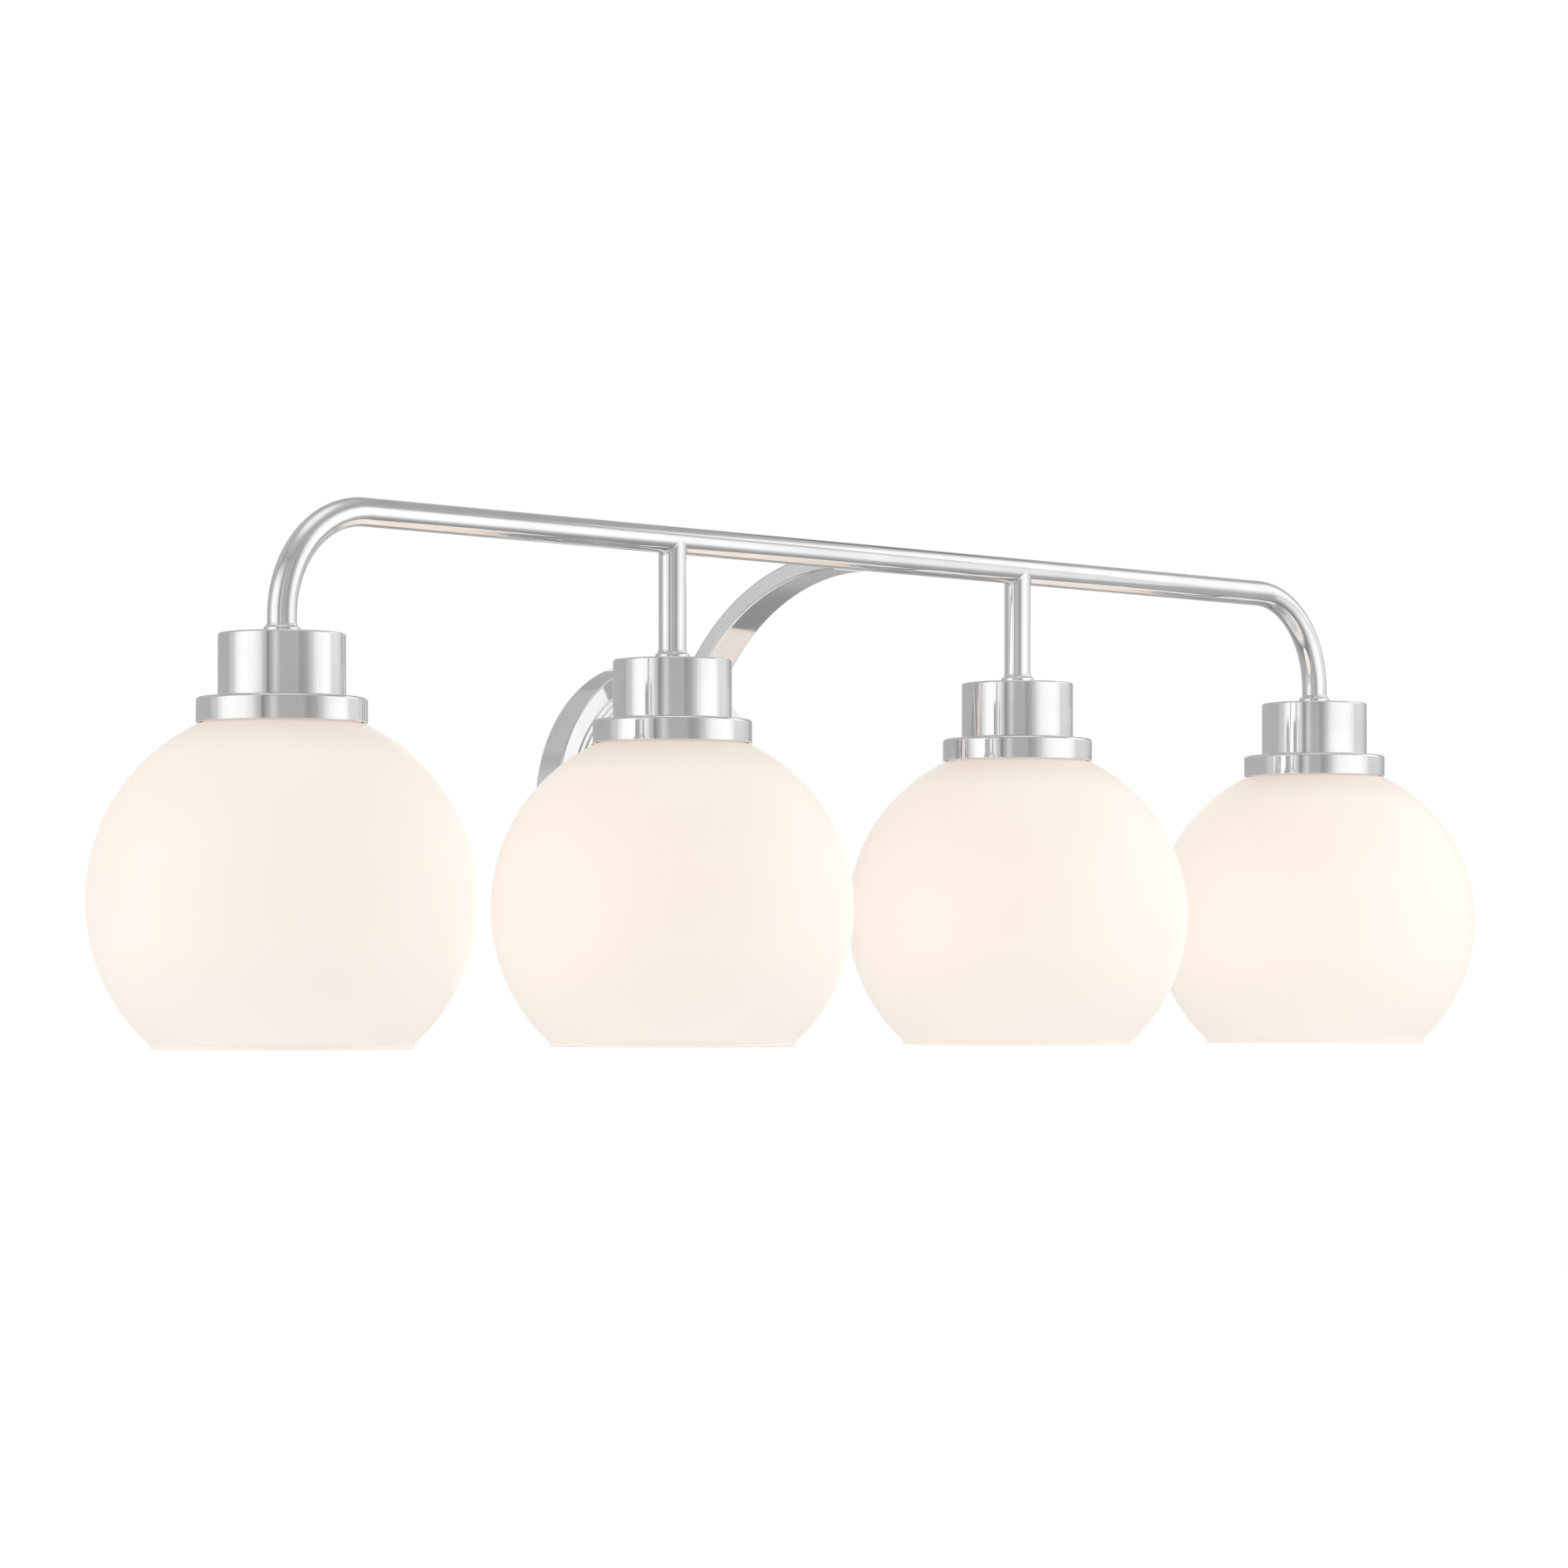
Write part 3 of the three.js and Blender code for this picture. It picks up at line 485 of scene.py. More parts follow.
CONNECTOR = textured(
    "connector_plastic", (300, 4, [(0.3, (0.72, 0.26, 0.03)), (0.7, (0.84, 0.36, 0.06))]),
    (800, 3, 0.3, 0.45), (1600, 3, 0.02 * MM, 0.4), IOR=1.5)
RUBBER = textured(
    "black_rubber", (400, 5, [(0.3, (0.018, 0.018, 0.02)), (0.7, (0.05, 0.05, 0.055))]),
    (900, 3, 0.55, 0.8), (1300, 4, 0.03 * MM, 0.5), IOR=1.5)

# ---- bar, stems and arm --------------------------------------------------------------------------

bar_low, bar_high, bar_mid = span("bar_tube")
TUBE_R = (bar_high.y - bar_low.y) / 2
BAR_Y = bar_mid.y
BAR_Z = bar_high.z - TUBE_R


def make_bar():
    left, right = bar_low.x + TUBE_R, bar_high.x - TUBE_R
    foot = span("stem_collar_1")[1].z - 0.1 * MM
    corners = [(left, BAR_Y, foot, 0), (left, BAR_Y, BAR_Z, BAR_BEND_R),
               (right, BAR_Y, BAR_Z, BAR_BEND_R), (right, BAR_Y, foot, 0)]
    path = rounded_path(corners, 40)
    swept("bar", path, circle(TUBE_R), (0, 1, 0), CHROME, replaces=("bar_tube",),
          inner=circle(TUBE_R - TUBE_WALL))


def make_stem(side, light):
    """A straight tube whose top flares through a weld fillet into the bar of the same radius."""
    node = f"middle_stem_{side}"
    centre = span(node)[2]
    foot = span(f"stem_collar_{light}")[1].z - 0.1 * MM
    fillet_steps = 8
    reach = TUBE_R + WELD_R
    rows = [[] for _ in range(fillet_steps + 5)]
    for j in range(TURN_SEGMENTS):
        angle = 2 * math.pi * j / TURN_SEGMENTS
        cos, sin = math.cos(angle), math.sin(angle)
        column = [Vector((TUBE_R * cos, TUBE_R * sin, foot - BAR_Z + rise)) for rise in (0, 0.2 * MM)]
        ball = Vector((reach * cos, reach * sin, -reach * abs(cos)))
        to_stem = Vector((-cos, -sin, 0))
        to_bar = Vector((0, -sin, abs(cos)))
        opening = to_stem.angle(to_bar)
        for k in range(fillet_steps + 1):
            share = k / fillet_steps
            if opening > 1e-4:
                a = math.sin((1 - share) * opening) / math.sin(opening)
                b = math.sin(share * opening) / math.sin(opening)
            else:
                a, b = 1 - share, share
            column.append(ball + (to_stem * a + to_bar * b) * WELD_R)
        inside = column[-1].copy()
        inside.y *= 0.9
        inside.z *= 0.9
        column.append(inside)
        column.append(Vector((0, 0, -TUBE_R / 2)))
        for row, point in zip(rows, column):
            row.append(point + Vector((centre.x, BAR_Y, BAR_Z)))
    points = [p for row in rows for p in row]
    faces = grid_faces(len(rows), TURN_SEGMENTS, False, True)
    faces.append(tuple(range(TURN_SEGMENTS)))
    new_piece(f"stem_{side}", points, faces, CHROME, replaces=(node,))


def make_arm():
    low, high, _ = span("curved_arm")
    half_width = (high.x - low.x) / 2
    drop_y = high.y - ARM_THICK / 2
    top_z = high.z - ARM_THICK / 2
    corners = [(0, BAR_Y + 1.6 * MM, top_z, 0), (0, drop_y, top_z, ARM_BEND_R), (0, drop_y, low.z, 0)]
    path = held_ends(rounded_path(corners, 64))
    # The foot is rounded off by two short sections that draw in.
    half_thick = ARM_THICK / 2
    section = rounded([(-half_width, -half_thick, ARM_EDGE_R), (half_width, -half_thick, ARM_EDGE_R),
                       (half_width, half_thick, ARM_EDGE_R), (-half_width, half_thick, ARM_EDGE_R)], 7)
    rows = swept_rows(path, section, (1, 0, 0))
    foot = rows.pop()
    middle = sum(foot, Vector()) / len(foot)
    for k in range(5):
        angle = math.pi / 2 * k / 4
        lift = ARM_EDGE_R * (1 - math.sin(angle))
        draw = ARM_EDGE_R * (1 - math.cos(angle))
        row = []
        for p in foot:
            away = p - middle
            row.append(Vector((middle.x + away.x * (1 - draw / half_width),
                               middle.y + away.y * (1 - draw / half_thick), low.z + lift)))
        rows.append(row)
    points = [p for row in rows for p in row]
    faces = grid_faces(len(rows), len(section), False, True)
    faces.append(tuple(range(len(section))))
    faces.append(tuple(range((len(rows) - 1) * len(section), len(rows) * len(section))))
    new_piece("arm", points, faces, CHROME, replaces=("curved_arm",))


# ---- wall plate and its fastenings -----------------------------------------------------------------


def make_wall_plate():
    low, high, _ = span("wall_plate")
    outer = (high.x - low.x) / 2
    face = -low.y
    rise = (face - PLATE_RING_DEPTH) / PLATE_TIERS
    crisp, soft = 0.25 * MM, 0.4 * MM
    corners = [(outer, 0, 0.3 * MM), (outer, PLATE_RING_DEPTH, 0.8 * MM)]
    for tier in range(PLATE_TIERS):
        radius = PLATE_TIER_R - tier * PLATE_TIER_STEP
        depth = PLATE_RING_DEPTH + tier * rise
        corners += [(radius, depth, crisp), (radius - 0.35 * MM, depth + rise, soft)]
    inside = outer - SHEET
    tier_foot = PLATE_TIER_R - (PLATE_TIERS - 1) * PLATE_TIER_STEP - 3.2 * MM
    corners = [(0, face - SHEET)] + [
        (tier_foot, face - SHEET, 1.5 * MM),
        (PLATE_TIER_R - 1.6 * MM, PLATE_RING_DEPTH - SHEET, 1.5 * MM),
        (inside, PLATE_RING_DEPTH - SHEET, 1.0 * MM), (inside, 0, 0.3 * MM),
    ] + corners + [(0, face)]
    plate = turned("wall_plate_shell", rounded(corners, 7, closed=False), CHROME, (0, 0),
                   axis="Y", segments=192, replaces=("wall_plate",))
    grommet_low, grommet_high, _ = span("lead_grommet")
    lip = 1.7 * MM
    reach = Vector((0, 4 * MM, 0))
    cut_low = Vector((grommet_low.x + lip, low.y, grommet_low.z + lip)) - reach
    cut_high = Vector((grommet_high.x - lip, low.y + SHEET, grommet_high.z - lip)) + reach
    cut_box(plate, cut_low, cut_high, 1.0 * MM)
    plate.modifiers.new("even shading", "WEIGHTED_NORMAL").weight = 50


def plate_from_outline(name, outline, holes, depth_low, depth_high, edge, material, replaces):
    """A flat plate in the plane of the wall, with holes and rounded edges. Depths are from the wall."""
    curve = bpy.data.curves.new(name, "CURVE")
    curve.dimensions = "2D"
    curve.fill_mode = "BOTH"
    for ring in [outline, *holes]:
        spline = curve.splines.new("POLY")
        spline.points.add(len(ring) - 1)
        for point, (x, z) in zip(spline.points, ring):
            point.co = (x, z, 0, 1)
        spline.use_cyclic_u = True
    curve.extrude = (depth_high - depth_low) / 2 - edge
    curve.bevel_depth = edge
    curve.bevel_resolution = 3
    curve.offset = -edge
    made = bpy.data.objects.new(name + "_outline", curve)
    bpy.context.scene.collection.objects.link(made)
    mesh = bpy.data.meshes.new_from_object(made.evaluated_get(bpy.context.evaluated_depsgraph_get()))
    bpy.data.objects.remove(made)
    middle = (depth_low + depth_high) / 2
    points = [(v.co.x, -middle - v.co.z, v.co.y) for v in mesh.vertices]
    faces = [tuple(p.vertices) for p in mesh.polygons]
    return new_piece(name, points, faces, material, replaces=replaces)


def stadium(half_length, half_width, centre_x=0.0, centre_z=0.0, steps=12):
    """An oblong with round ends, along X."""
    straight = half_length - half_width
    ring = []
    for end, start in ((1, -90), (-1, 90)):
        for k in range(steps + 1):
            angle = math.radians(start + 180 * k / steps)
            ring.append((centre_x + end * straight + half_width * math.cos(angle),
                         centre_z + half_width * math.sin(angle)))
    return ring


def make_bracket():
    low, high, _ = span("mounting_bracket")
    half_length, half_width = (high.x - low.x) / 2, (high.z - low.z) / 2
    stud = span("mounting_stud_right")[2]
    ground = span("ground_screw")[2]
    hole_r = STUD_R + 0.4 * MM
    holes = [stadium(hole_r * 1.001, hole_r, ground.x, ground.z)]
    for side in (-1, 1):
        holes.append(stadium(hole_r * 1.001, hole_r, side * stud.x))
        holes.append(stadium(4.5 * MM, 2.4 * MM, side * 44 * MM))
    holes = [list(reversed(ring)) for ring in holes]
    plate_from_outline("bracket", stadium(half_length, half_width, steps=24), holes, 0, -low.y,
                       0.35 * MM, ZINC, ("mounting_bracket",))


def threaded(radius, pitch, depth):
    """A ripple that turns a plain cylinder into a round-crested screw thread."""
    def ripple(r, h, angle):
        if r < radius * 0.8:
            return r
        phase = 2 * math.pi * h / pitch - angle
        return r - depth * (0.5 - 0.5 * math.cos(phase))
    return ripple


def thread_rows(radius, start, end, pitch, per_turn=10):
    count = max(2, math.ceil(abs(end - start) / pitch * per_turn))
    return [(radius, start + (end - start) * k / count) for k in range(count + 1)]


def hexagonal(apothem, crown_low, crown_high):
    """A ripple that flattens a turned piece into a hexagon, its corners chamfered at both ends."""
    def ripple(r, h, angle):
        if r < apothem:
            return r
        sector = (angle + math.pi / 6) % (math.pi / 3) - math.pi / 6
        flat = apothem / math.cos(sector)
        end = min(abs(h - crown_low), abs(h - crown_high))
        return min(flat, r, apothem * 1.03 + end * 1.7)
    return ripple


def make_studs():
    for side in SIDES:
        low, high, centre = span(f"mounting_stud_{side}")
        start, end = -high.y, -low.y
        profile = [(0, start)] + thread_rows(STUD_R, start, end, STUD_PITCH, 6) + [(0, end)]
        turned(f"stud_{side}", profile, ZINC, (centre.x, centre.z), "Y", 24,
               threaded(STUD_R, STUD_PITCH, 0.35 * MM), replaces=(f"mounting_stud_{side}",))
        make_nut(f"lock_nut_{side}", f"stud_nut_{side}")
        make_cap_nut(side)


def make_nut(name, node):
    low, high, centre = span(node)
    corner_r = (high.z - low.z) / 2
    start, end = -high.y, -low.y
    bore = STUD_R + 0.05 * MM
    corners = [(bore, start, 0.1 * MM), (corner_r, start, 0.1 * MM), (corner_r, end, 0.1 * MM),
               (bore, end, 0.1 * MM)]
    turned(name, densified(rounded(corners, 3), 0.35 * MM), ZINC, (centre.x, centre.z),
           "Y", 72, hexagonal(corner_r * HEX_FLAT, start, end), replaces=(node,))


def densified(profile, step):
    """The same closed outline with no stretch longer than step."""
    made = []
    for i, (r, h) in enumerate(profile):
        next_r, next_h = profile[(i + 1) % len(profile)]
        count = max(1, math.ceil(math.hypot(next_r - r, next_h - h) / step))
        for k in range(count):
            made.append((r + (next_r - r) * k / count, h + (next_h - h) * k / count))
    return made


def make_cap_nut(side):
    """An acorn nut: a hexagon, a neck and a dome."""
    node = f"cap_nut_{side}"
    low, high, centre = span(node)
    corner_r = (high.x - low.x) / 2
    foot, tip = -high.y - 0.2 * MM, -low.y
    hex_end = foot + 3.4 * MM
    neck = corner_r * HEX_FLAT * 0.97
    dome_h = tip - hex_end - 0.4 * MM
    profile = [(0, foot)]
    profile += densified([(corner_r, foot), (corner_r, hex_end)], 0.25 * MM)[:14]
    profile += [(neck, hex_end + 0.15 * MM), (neck * 0.985, hex_end + 0.4 * MM)]
    steps = 14
    for k in range(1, steps):
        angle = math.pi / 2 * k / steps
        profile.append((neck * 0.985 * math.cos(angle), tip - dome_h + dome_h * math.sin(angle)))
    profile.append((0, tip))
    turned(f"acorn_nut_{side}", profile, CHROME, (centre.x, centre.z), "Y", 96,
           hexagonal(corner_r * HEX_FLAT, foot, hex_end), replaces=(node,))


def make_hex_screw(name, node, material, facing):
    """A hex washer-head screw along Y. facing is -1 where the head is on the room's side."""
    low, high, centre = span(node)
    head_r = (high.x - low.x) / 2
    head_h = 2.3 * MM
    if facing < 0:
        head_end, seat, tip = -low.y, -low.y - head_h, -high.y
    else:
        head_end, seat, tip = -high.y, -high.y + head_h, -low.y
    way = 1 if head_end > seat else -1
    washer = seat + way * 0.7 * MM
    hex_r = head_r * 0.86
    outline = [(0, tip)] + thread_rows(STUD_R * 0.97, tip, seat, 0.9 * MM, 6)
    outline += [(head_r, seat), (head_r, seat + way * 0.5 * MM), (hex_r, washer)]
    outline += [(hex_r, washer + (head_end - washer) * k / 6) for k in range(1, 6)]
    outline += [(hex_r * 0.8, head_end), (0, head_end)]
    apothem = hex_r * HEX_FLAT
    thread = threaded(STUD_R * 0.97, 0.9 * MM, 0.3 * MM)
    hexagon = hexagonal(apothem, washer - way * MM, head_end)

    def ripple(r, h, angle):
        if r < STUD_R * 1.2:
            return thread(r, h, angle) if (h - seat) * way < 0 else r
        return hexagon(r, h, angle) if (h - washer) * way >= 0 else r

    turned(name, outline, material, (centre.x, centre.z), "Y", 72, ripple, replaces=(node,))


def make_grommet():
    low, high, centre = span("lead_grommet")
    half_w, half_h = (high.x - low.x) / 2, (high.z - low.z) / 2
    lip = 2.4 * MM
    outline = rounded([(-half_w, -half_h, 2 * MM), (half_w, -half_h, 2 * MM), (half_w, half_h, 2 * MM),
                       (-half_w, half_h, 2 * MM)], 8)
    outline = [(centre.x + x, centre.z + z) for x, z in outline]
    hole = rounded([(-half_w + lip, -half_h + lip, MM), (half_w - lip, -half_h + lip, MM),
                    (half_w - lip, half_h - lip, MM), (-half_w + lip, half_h - lip, MM)], 8)
    hole = [(centre.x + x, centre.z + z) for x, z in reversed(hole)]
    plate_from_outline("grommet", outline, [hole], -high.y, -low.y, 0.45 * MM, RUBBER,
                       ("lead_grommet",))


def make_wire_nut(side):
    """A ribbed twist-on connector, mouth down."""
    node = f"wire_nut_{side}"
    low, high, centre = span(node)
    mouth_r = (high.x - low.x) / 2
    foot, top = low.z, high.z
    length = top - foot
    profile = [(mouth_r * 0.66, foot + 0.45 * length), (mouth_r * 0.7, foot),
               (mouth_r * 0.97, foot), (mouth_r, foot + 0.3 * MM)]
    for k in range(1, 24):
        share = k / 24
        if share < 0.34:
            radius = mouth_r * (1 - 0.12 * share)
        else:
            radius = mouth_r * (0.96 - 0.42 * (share - 0.34) / 0.66)
        profile.append((radius, foot + length * share))
    profile += [(mouth_r * 0.42, top - 0.15 * MM), (0, top)]
    profile = [(0, foot + 0.45 * length)] + profile

    def ripple(r, h, angle):
        share = (h - foot) / length
        if r < mouth_r * 0.5 or share < 0.36 or share > 0.93:
            return r
        return r * (1 - 0.05 * (0.5 - 0.5 * math.cos(12 * angle)))

    turned(f"connector_{side}", profile, CONNECTOR, (centre.x, centre.y), "Z", 96,
           ripple, replaces=(node,))


# ---- one light ---------------------------------------------------------------------------------


def make_collar(number, centre):
    low, high, _ = span(f"stem_collar_{number}")
    rim = (high.x - low.x) / 2
    bottom = span(f"socket_cup_{number}")[1].z - 0.05 * MM
    bore = rim * 0.5
    corners = [(bore, bottom), (rim, bottom, 0.3 * MM), (rim, low.z + 2.1 * MM, 0.8 * MM),
               (TUBE_R + 0.5 * MM, low.z + 2.7 * MM, 0.5 * MM), (TUBE_R + 0.3 * MM, high.z, 0.25 * MM),
               (bore, high.z)]
    turned(f"collar_{number}", rounded(corners, 6), CHROME, centre, segments=MID_SEGMENTS,
           replaces=(f"stem_collar_{number}",))


def make_cup(number, centre):
    low, high, _ = span(f"socket_cup_{number}")
    outer = (high.x - low.x) / 2
    bottom = span(f"shade_holder_{number}")[1].z - 0.02 * MM
    hole = 5 * MM
    corners = [(hole, high.z), (outer, high.z, CUP_EDGE_R), (outer, bottom, ROLLED_EDGE_R),
               (outer - SHEET * 1.6, bottom), (outer - SHEET * 1.6, high.z - SHEET, 0.5 * MM),
               (hole, high.z - SHEET)]
    turned(f"cup_{number}", rounded(corners, 8), CHROME, centre,
           replaces=(f"socket_cup_{number}",))


def make_holder(number, centre):
    low, high, _ = span(f"shade_holder_{number}")
    outer = (high.x - low.x) / 2
    inner = outer - SHEET
    hole = SOCKET_SKIRT_R + 0.5 * MM
    corners = [(hole, high.z), (outer, high.z, ROLLED_EDGE_R), (outer, low.z, 0.45 * MM),
               (inner, low.z, 0.45 * MM), (inner, high.z - SHEET, 0.6 * MM), (hole, high.z - SHEET)]
    turned(f"holder_{number}", rounded(corners, 8), CHROME, centre,
           replaces=(f"shade_holder_{number}",))


def make_shade(number, centre):
    low, high, _ = span(f"glass_shade_{number}")
    globe_r = (high.x - low.x) / 2
    rim_z = low.z
    # The rim's radius and the lip above it put the globe's centre.
    rim_r = GLOBE_RIM_R
    centre_z = rim_z + GLOBE_RIM_LIP + math.sqrt(globe_r**2 - rim_r**2)
    inner_r = globe_r - GLOBE_GLASS
    low_angle = -math.degrees(math.acos(rim_r / globe_r))
    high_angle = math.degrees(math.acos(GLOBE_NECK_R / globe_r))
    inner_low = -math.degrees(math.acos((rim_r - GLOBE_GLASS) / inner_r))
    inner_high = math.degrees(math.acos((GLOBE_NECK_R - GLOBE_GLASS) / inner_r))
    rim_edge = 0.6 * MM
    rim_inner = rim_r - GLOBE_GLASS
    rim = rounded([(rim_inner, rim_z + 2 * MM), (rim_inner, rim_z, rim_edge), (rim_r, rim_z, rim_edge),
                   (rim_r, rim_z + GLOBE_RIM_LIP)], 5, closed=False)[1:-1]
    top = rounded([(GLOBE_NECK_R, high.z - 3 * MM), (GLOBE_NECK_R, high.z, MM),
                   (GLOBE_NECK_HOLE_R, high.z, 0.8 * MM),
                   (GLOBE_NECK_HOLE_R, high.z - GLOBE_GLASS, 0.8 * MM),
                   (GLOBE_NECK_R - GLOBE_GLASS, high.z - GLOBE_GLASS, MM),
                   (GLOBE_NECK_R - GLOBE_GLASS, high.z - 5 * MM)], 5, closed=False)[1:-1]
    profile = rim + arc(globe_r, centre_z, low_angle, high_angle, 72) + top
    profile += arc(inner_r, centre_z, inner_high, inner_low, 60)
    globe = turned(f"globe_{number}", profile, OPAL, centre, body=f"shade_{number}",
                   replaces=(f"glass_shade_{number}",))
    # the inside faces take the copy of the glass with the dimmer painted glow
    globe.data.materials.append(OPAL_INSIDE_DIMMER_GLOW)
    middle = Vector((*centre, centre_z))
    for face in globe.data.polygons:
        if face.normal.dot(face.center - middle) < 0:
            face.material_index = 1


def make_socket(number, centre):
    low, high, _ = span(f"lamp_socket_{number}")
    flange = (high.x - low.x) / 2
    flange_z = span(f"shade_holder_{number}")[1].z + 0.3 * MM
    flange_top = flange_z + 3 * MM
    cavity_top, shoulder = 44 * MM, 48 * MM
    hole, boss = 4.7 * MM, 9 * MM
    pitch = 2.5 * MM
    profile = [(hole, high.z), (boss, high.z), (boss, high.z - 4 * MM), (SOCKET_SKIRT_R, shoulder),
               (SOCKET_SKIRT_R, flange_top), (flange, flange_top), (flange, flange_z),
               (SOCKET_SKIRT_R, flange_z)]
    profile += thread_rows(SOCKET_SKIRT_R, flange_z - 1.5 * MM, low.z + 1.2 * MM, pitch, 10)
    profile += [(SOCKET_SKIRT_R - 0.9 * MM, low.z + 0.4 * MM), (SOCKET_SKIRT_R - 1.5 * MM, low.z),
                (SOCKET_CAVITY_R + 0.8 * MM, low.z), (SOCKET_CAVITY_R, low.z + 0.8 * MM),
                (SOCKET_CAVITY_R, cavity_top), (hole, cavity_top)]
    thread = threaded(SOCKET_SKIRT_R, pitch, 0.55 * MM)

    def ripple(r, h, angle):
        on_skirt = abs(r - SOCKET_SKIRT_R) < 0.01 * MM and h < flange_z - MM
        return thread(r, h, angle) if on_skirt else r

    turned(f"socket_{number}", profile, PORCELAIN, centre, segments=MID_SEGMENTS, ripple=ripple,
           replaces=(f"lamp_socket_{number}",))


def make_shell(number, centre):
    """The socket's screw shell, with the lamp's thread rolled into it."""
    low, high, _ = span(f"screw_shell_{number}")
    outer = (high.x - low.x) / 2
    wall = 0.5 * MM
    rows = thread_rows(outer, high.z - 3 * MM, low.z + 0.6 * MM, THREAD_PITCH, 12)
    inner = [(r - wall, h) for r, h in reversed(rows)]
    profile = [(6 * MM, high.z), (outer - 1.2 * MM, high.z)] + rows
    profile += [(outer - 0.1 * MM, low.z), (outer - wall - 0.1 * MM, low.z)] + inner
    profile += [(outer - 1.7 * MM, high.z - wall), (6 * MM, high.z - wall)]
    ripple = threaded(outer, THREAD_PITCH, 0.75 * MM)
    turned(f"shell_{number}", profile, BRASS, centre, segments=MID_SEGMENTS, ripple=ripple,
           replaces=(f"screw_shell_{number}",))


def make_ring(number, centre):
    """A moulded ring nut with finger notches round its edge."""
    low, high, _ = span(f"retaining_ring_{number}")
    outer = (high.x - low.x) / 2
    bore = SOCKET_SKIRT_R + 0.15 * MM
    corners = [(bore, high.z, 0.3 * MM), (outer, high.z, 0.6 * MM), (outer, high.z - 1.9 * MM, 0.5 * MM),
               (outer - 2.2 * MM, low.z, 0.8 * MM), (bore, low.z, 0.5 * MM)]

    def ripple(r, h, angle):
        if r < outer - 3.2 * MM:
            return r
        notch = max(0.0, math.cos(12 * angle)) ** 6
        return r - 0.9 * MM * notch

    turned(f"ring_nut_{number}", densified(rounded(corners, 5), 0.8 * MM), PHENOLIC,
           centre, segments=240, ripple=ripple, body=f"ring_{number}",
           replaces=(f"retaining_ring_{number}",))


def bezier(start, start_way, end, end_way, steps):
    """A cubic curve in a profile, from one point and direction to another."""
    a, d = Vector(start), Vector(end)
    b, c = a + Vector(start_way), d - Vector(end_way)
    made = []
    for k in range(steps + 1):
        t = k / steps
        p = a * (1 - t)**3 + b * 3 * t * (1 - t)**2 + c * 3 * t * t * (1 - t) + d * t**3
        made.append((p.x, p.y))
    return made


def make_bulb(number, centre):
    low, high, _ = span(f"bulb_{number}")
    radius = (high.x - low.x) / 2
    middle = low.z + radius
    base_r = 13.1 * MM
    base_z = 13 * MM
    shoulder = 28
    profile = [(0, low.z)] + arc(radius, middle, -88, shoulder, 36)
    start = profile[-1]
    way = math.radians(shoulder)
    profile += bezier(start, (-16 * MM * math.sin(way), 16 * MM * math.cos(way)),
                      (base_r - 0.5 * MM, base_z), (0, 14 * MM), 24)[1:]
    profile += [(base_r - 0.9 * MM, base_z + 1.5 * MM), (0, base_z + 1.5 * MM)]
    turned(f"bulb_glass_{number}", profile, BULB, centre, segments=MID_SEGMENTS,
           body=f"bulb_{number}", replaces=(f"bulb_{number}",))

    cap_z = high.z - 5 * MM
    rows = thread_rows(base_r + 0.1 * MM, base_z + 3 * MM, cap_z - 2 * MM, THREAD_PITCH, 12)
    base = [(0, base_z - 0.5 * MM), (base_r, base_z - 0.5 * MM), (base_r + 0.1 * MM, base_z + 0.3 * MM)]
    base += rows + [(base_r - 1.2 * MM, cap_z - MM), (base_r - 2.5 * MM, cap_z), (0, cap_z)]
    turned(f"bulb_base_{number}", base, ZINC, centre, segments=MID_SEGMENTS,
           ripple=threaded(base_r, THREAD_PITCH, 0.8 * MM), body=f"bulb_{number}")

    insulator = rounded([(0, cap_z - 0.5 * MM), (base_r - 2.8 * MM, cap_z - 0.5 * MM, 0.2 * MM),
                         (base_r - 3.4 * MM, cap_z + 0.8 * MM, 0.5 * MM),
                         (5.2 * MM, high.z - 1.6 * MM, 0.8 * MM), (0, high.z - 1.6 * MM)], 4, closed=False)
    turned(f"bulb_insulator_{number}", insulator, RUBBER, centre, segments=64,
           body=f"bulb_{number}")
    contact = rounded([(0, high.z - 2 * MM), (4.8 * MM, high.z - 2 * MM, 0.2 * MM),
                       (4.4 * MM, high.z - 0.7 * MM, 0.6 * MM), (2.4 * MM, high.z, 0.8 * MM),
                       (0, high.z)], 4, closed=False)
    turned(f"bulb_contact_{number}", contact, BRASS, centre, segments=48,
           body=f"bulb_{number}")


def make_light(number):
    middle = span(f"socket_cup_{number}")[2]
    centre = (middle.x, middle.y)
    make_collar(number, centre)
    make_cup(number, centre)
    make_holder(number, centre)
    make_shade(number, centre)
    make_socket(number, centre)
    make_shell(number, centre)
    make_ring(number, centre)
    make_bulb(number, centre)


# ---- leads -----------------------------------------------------------------------------------------


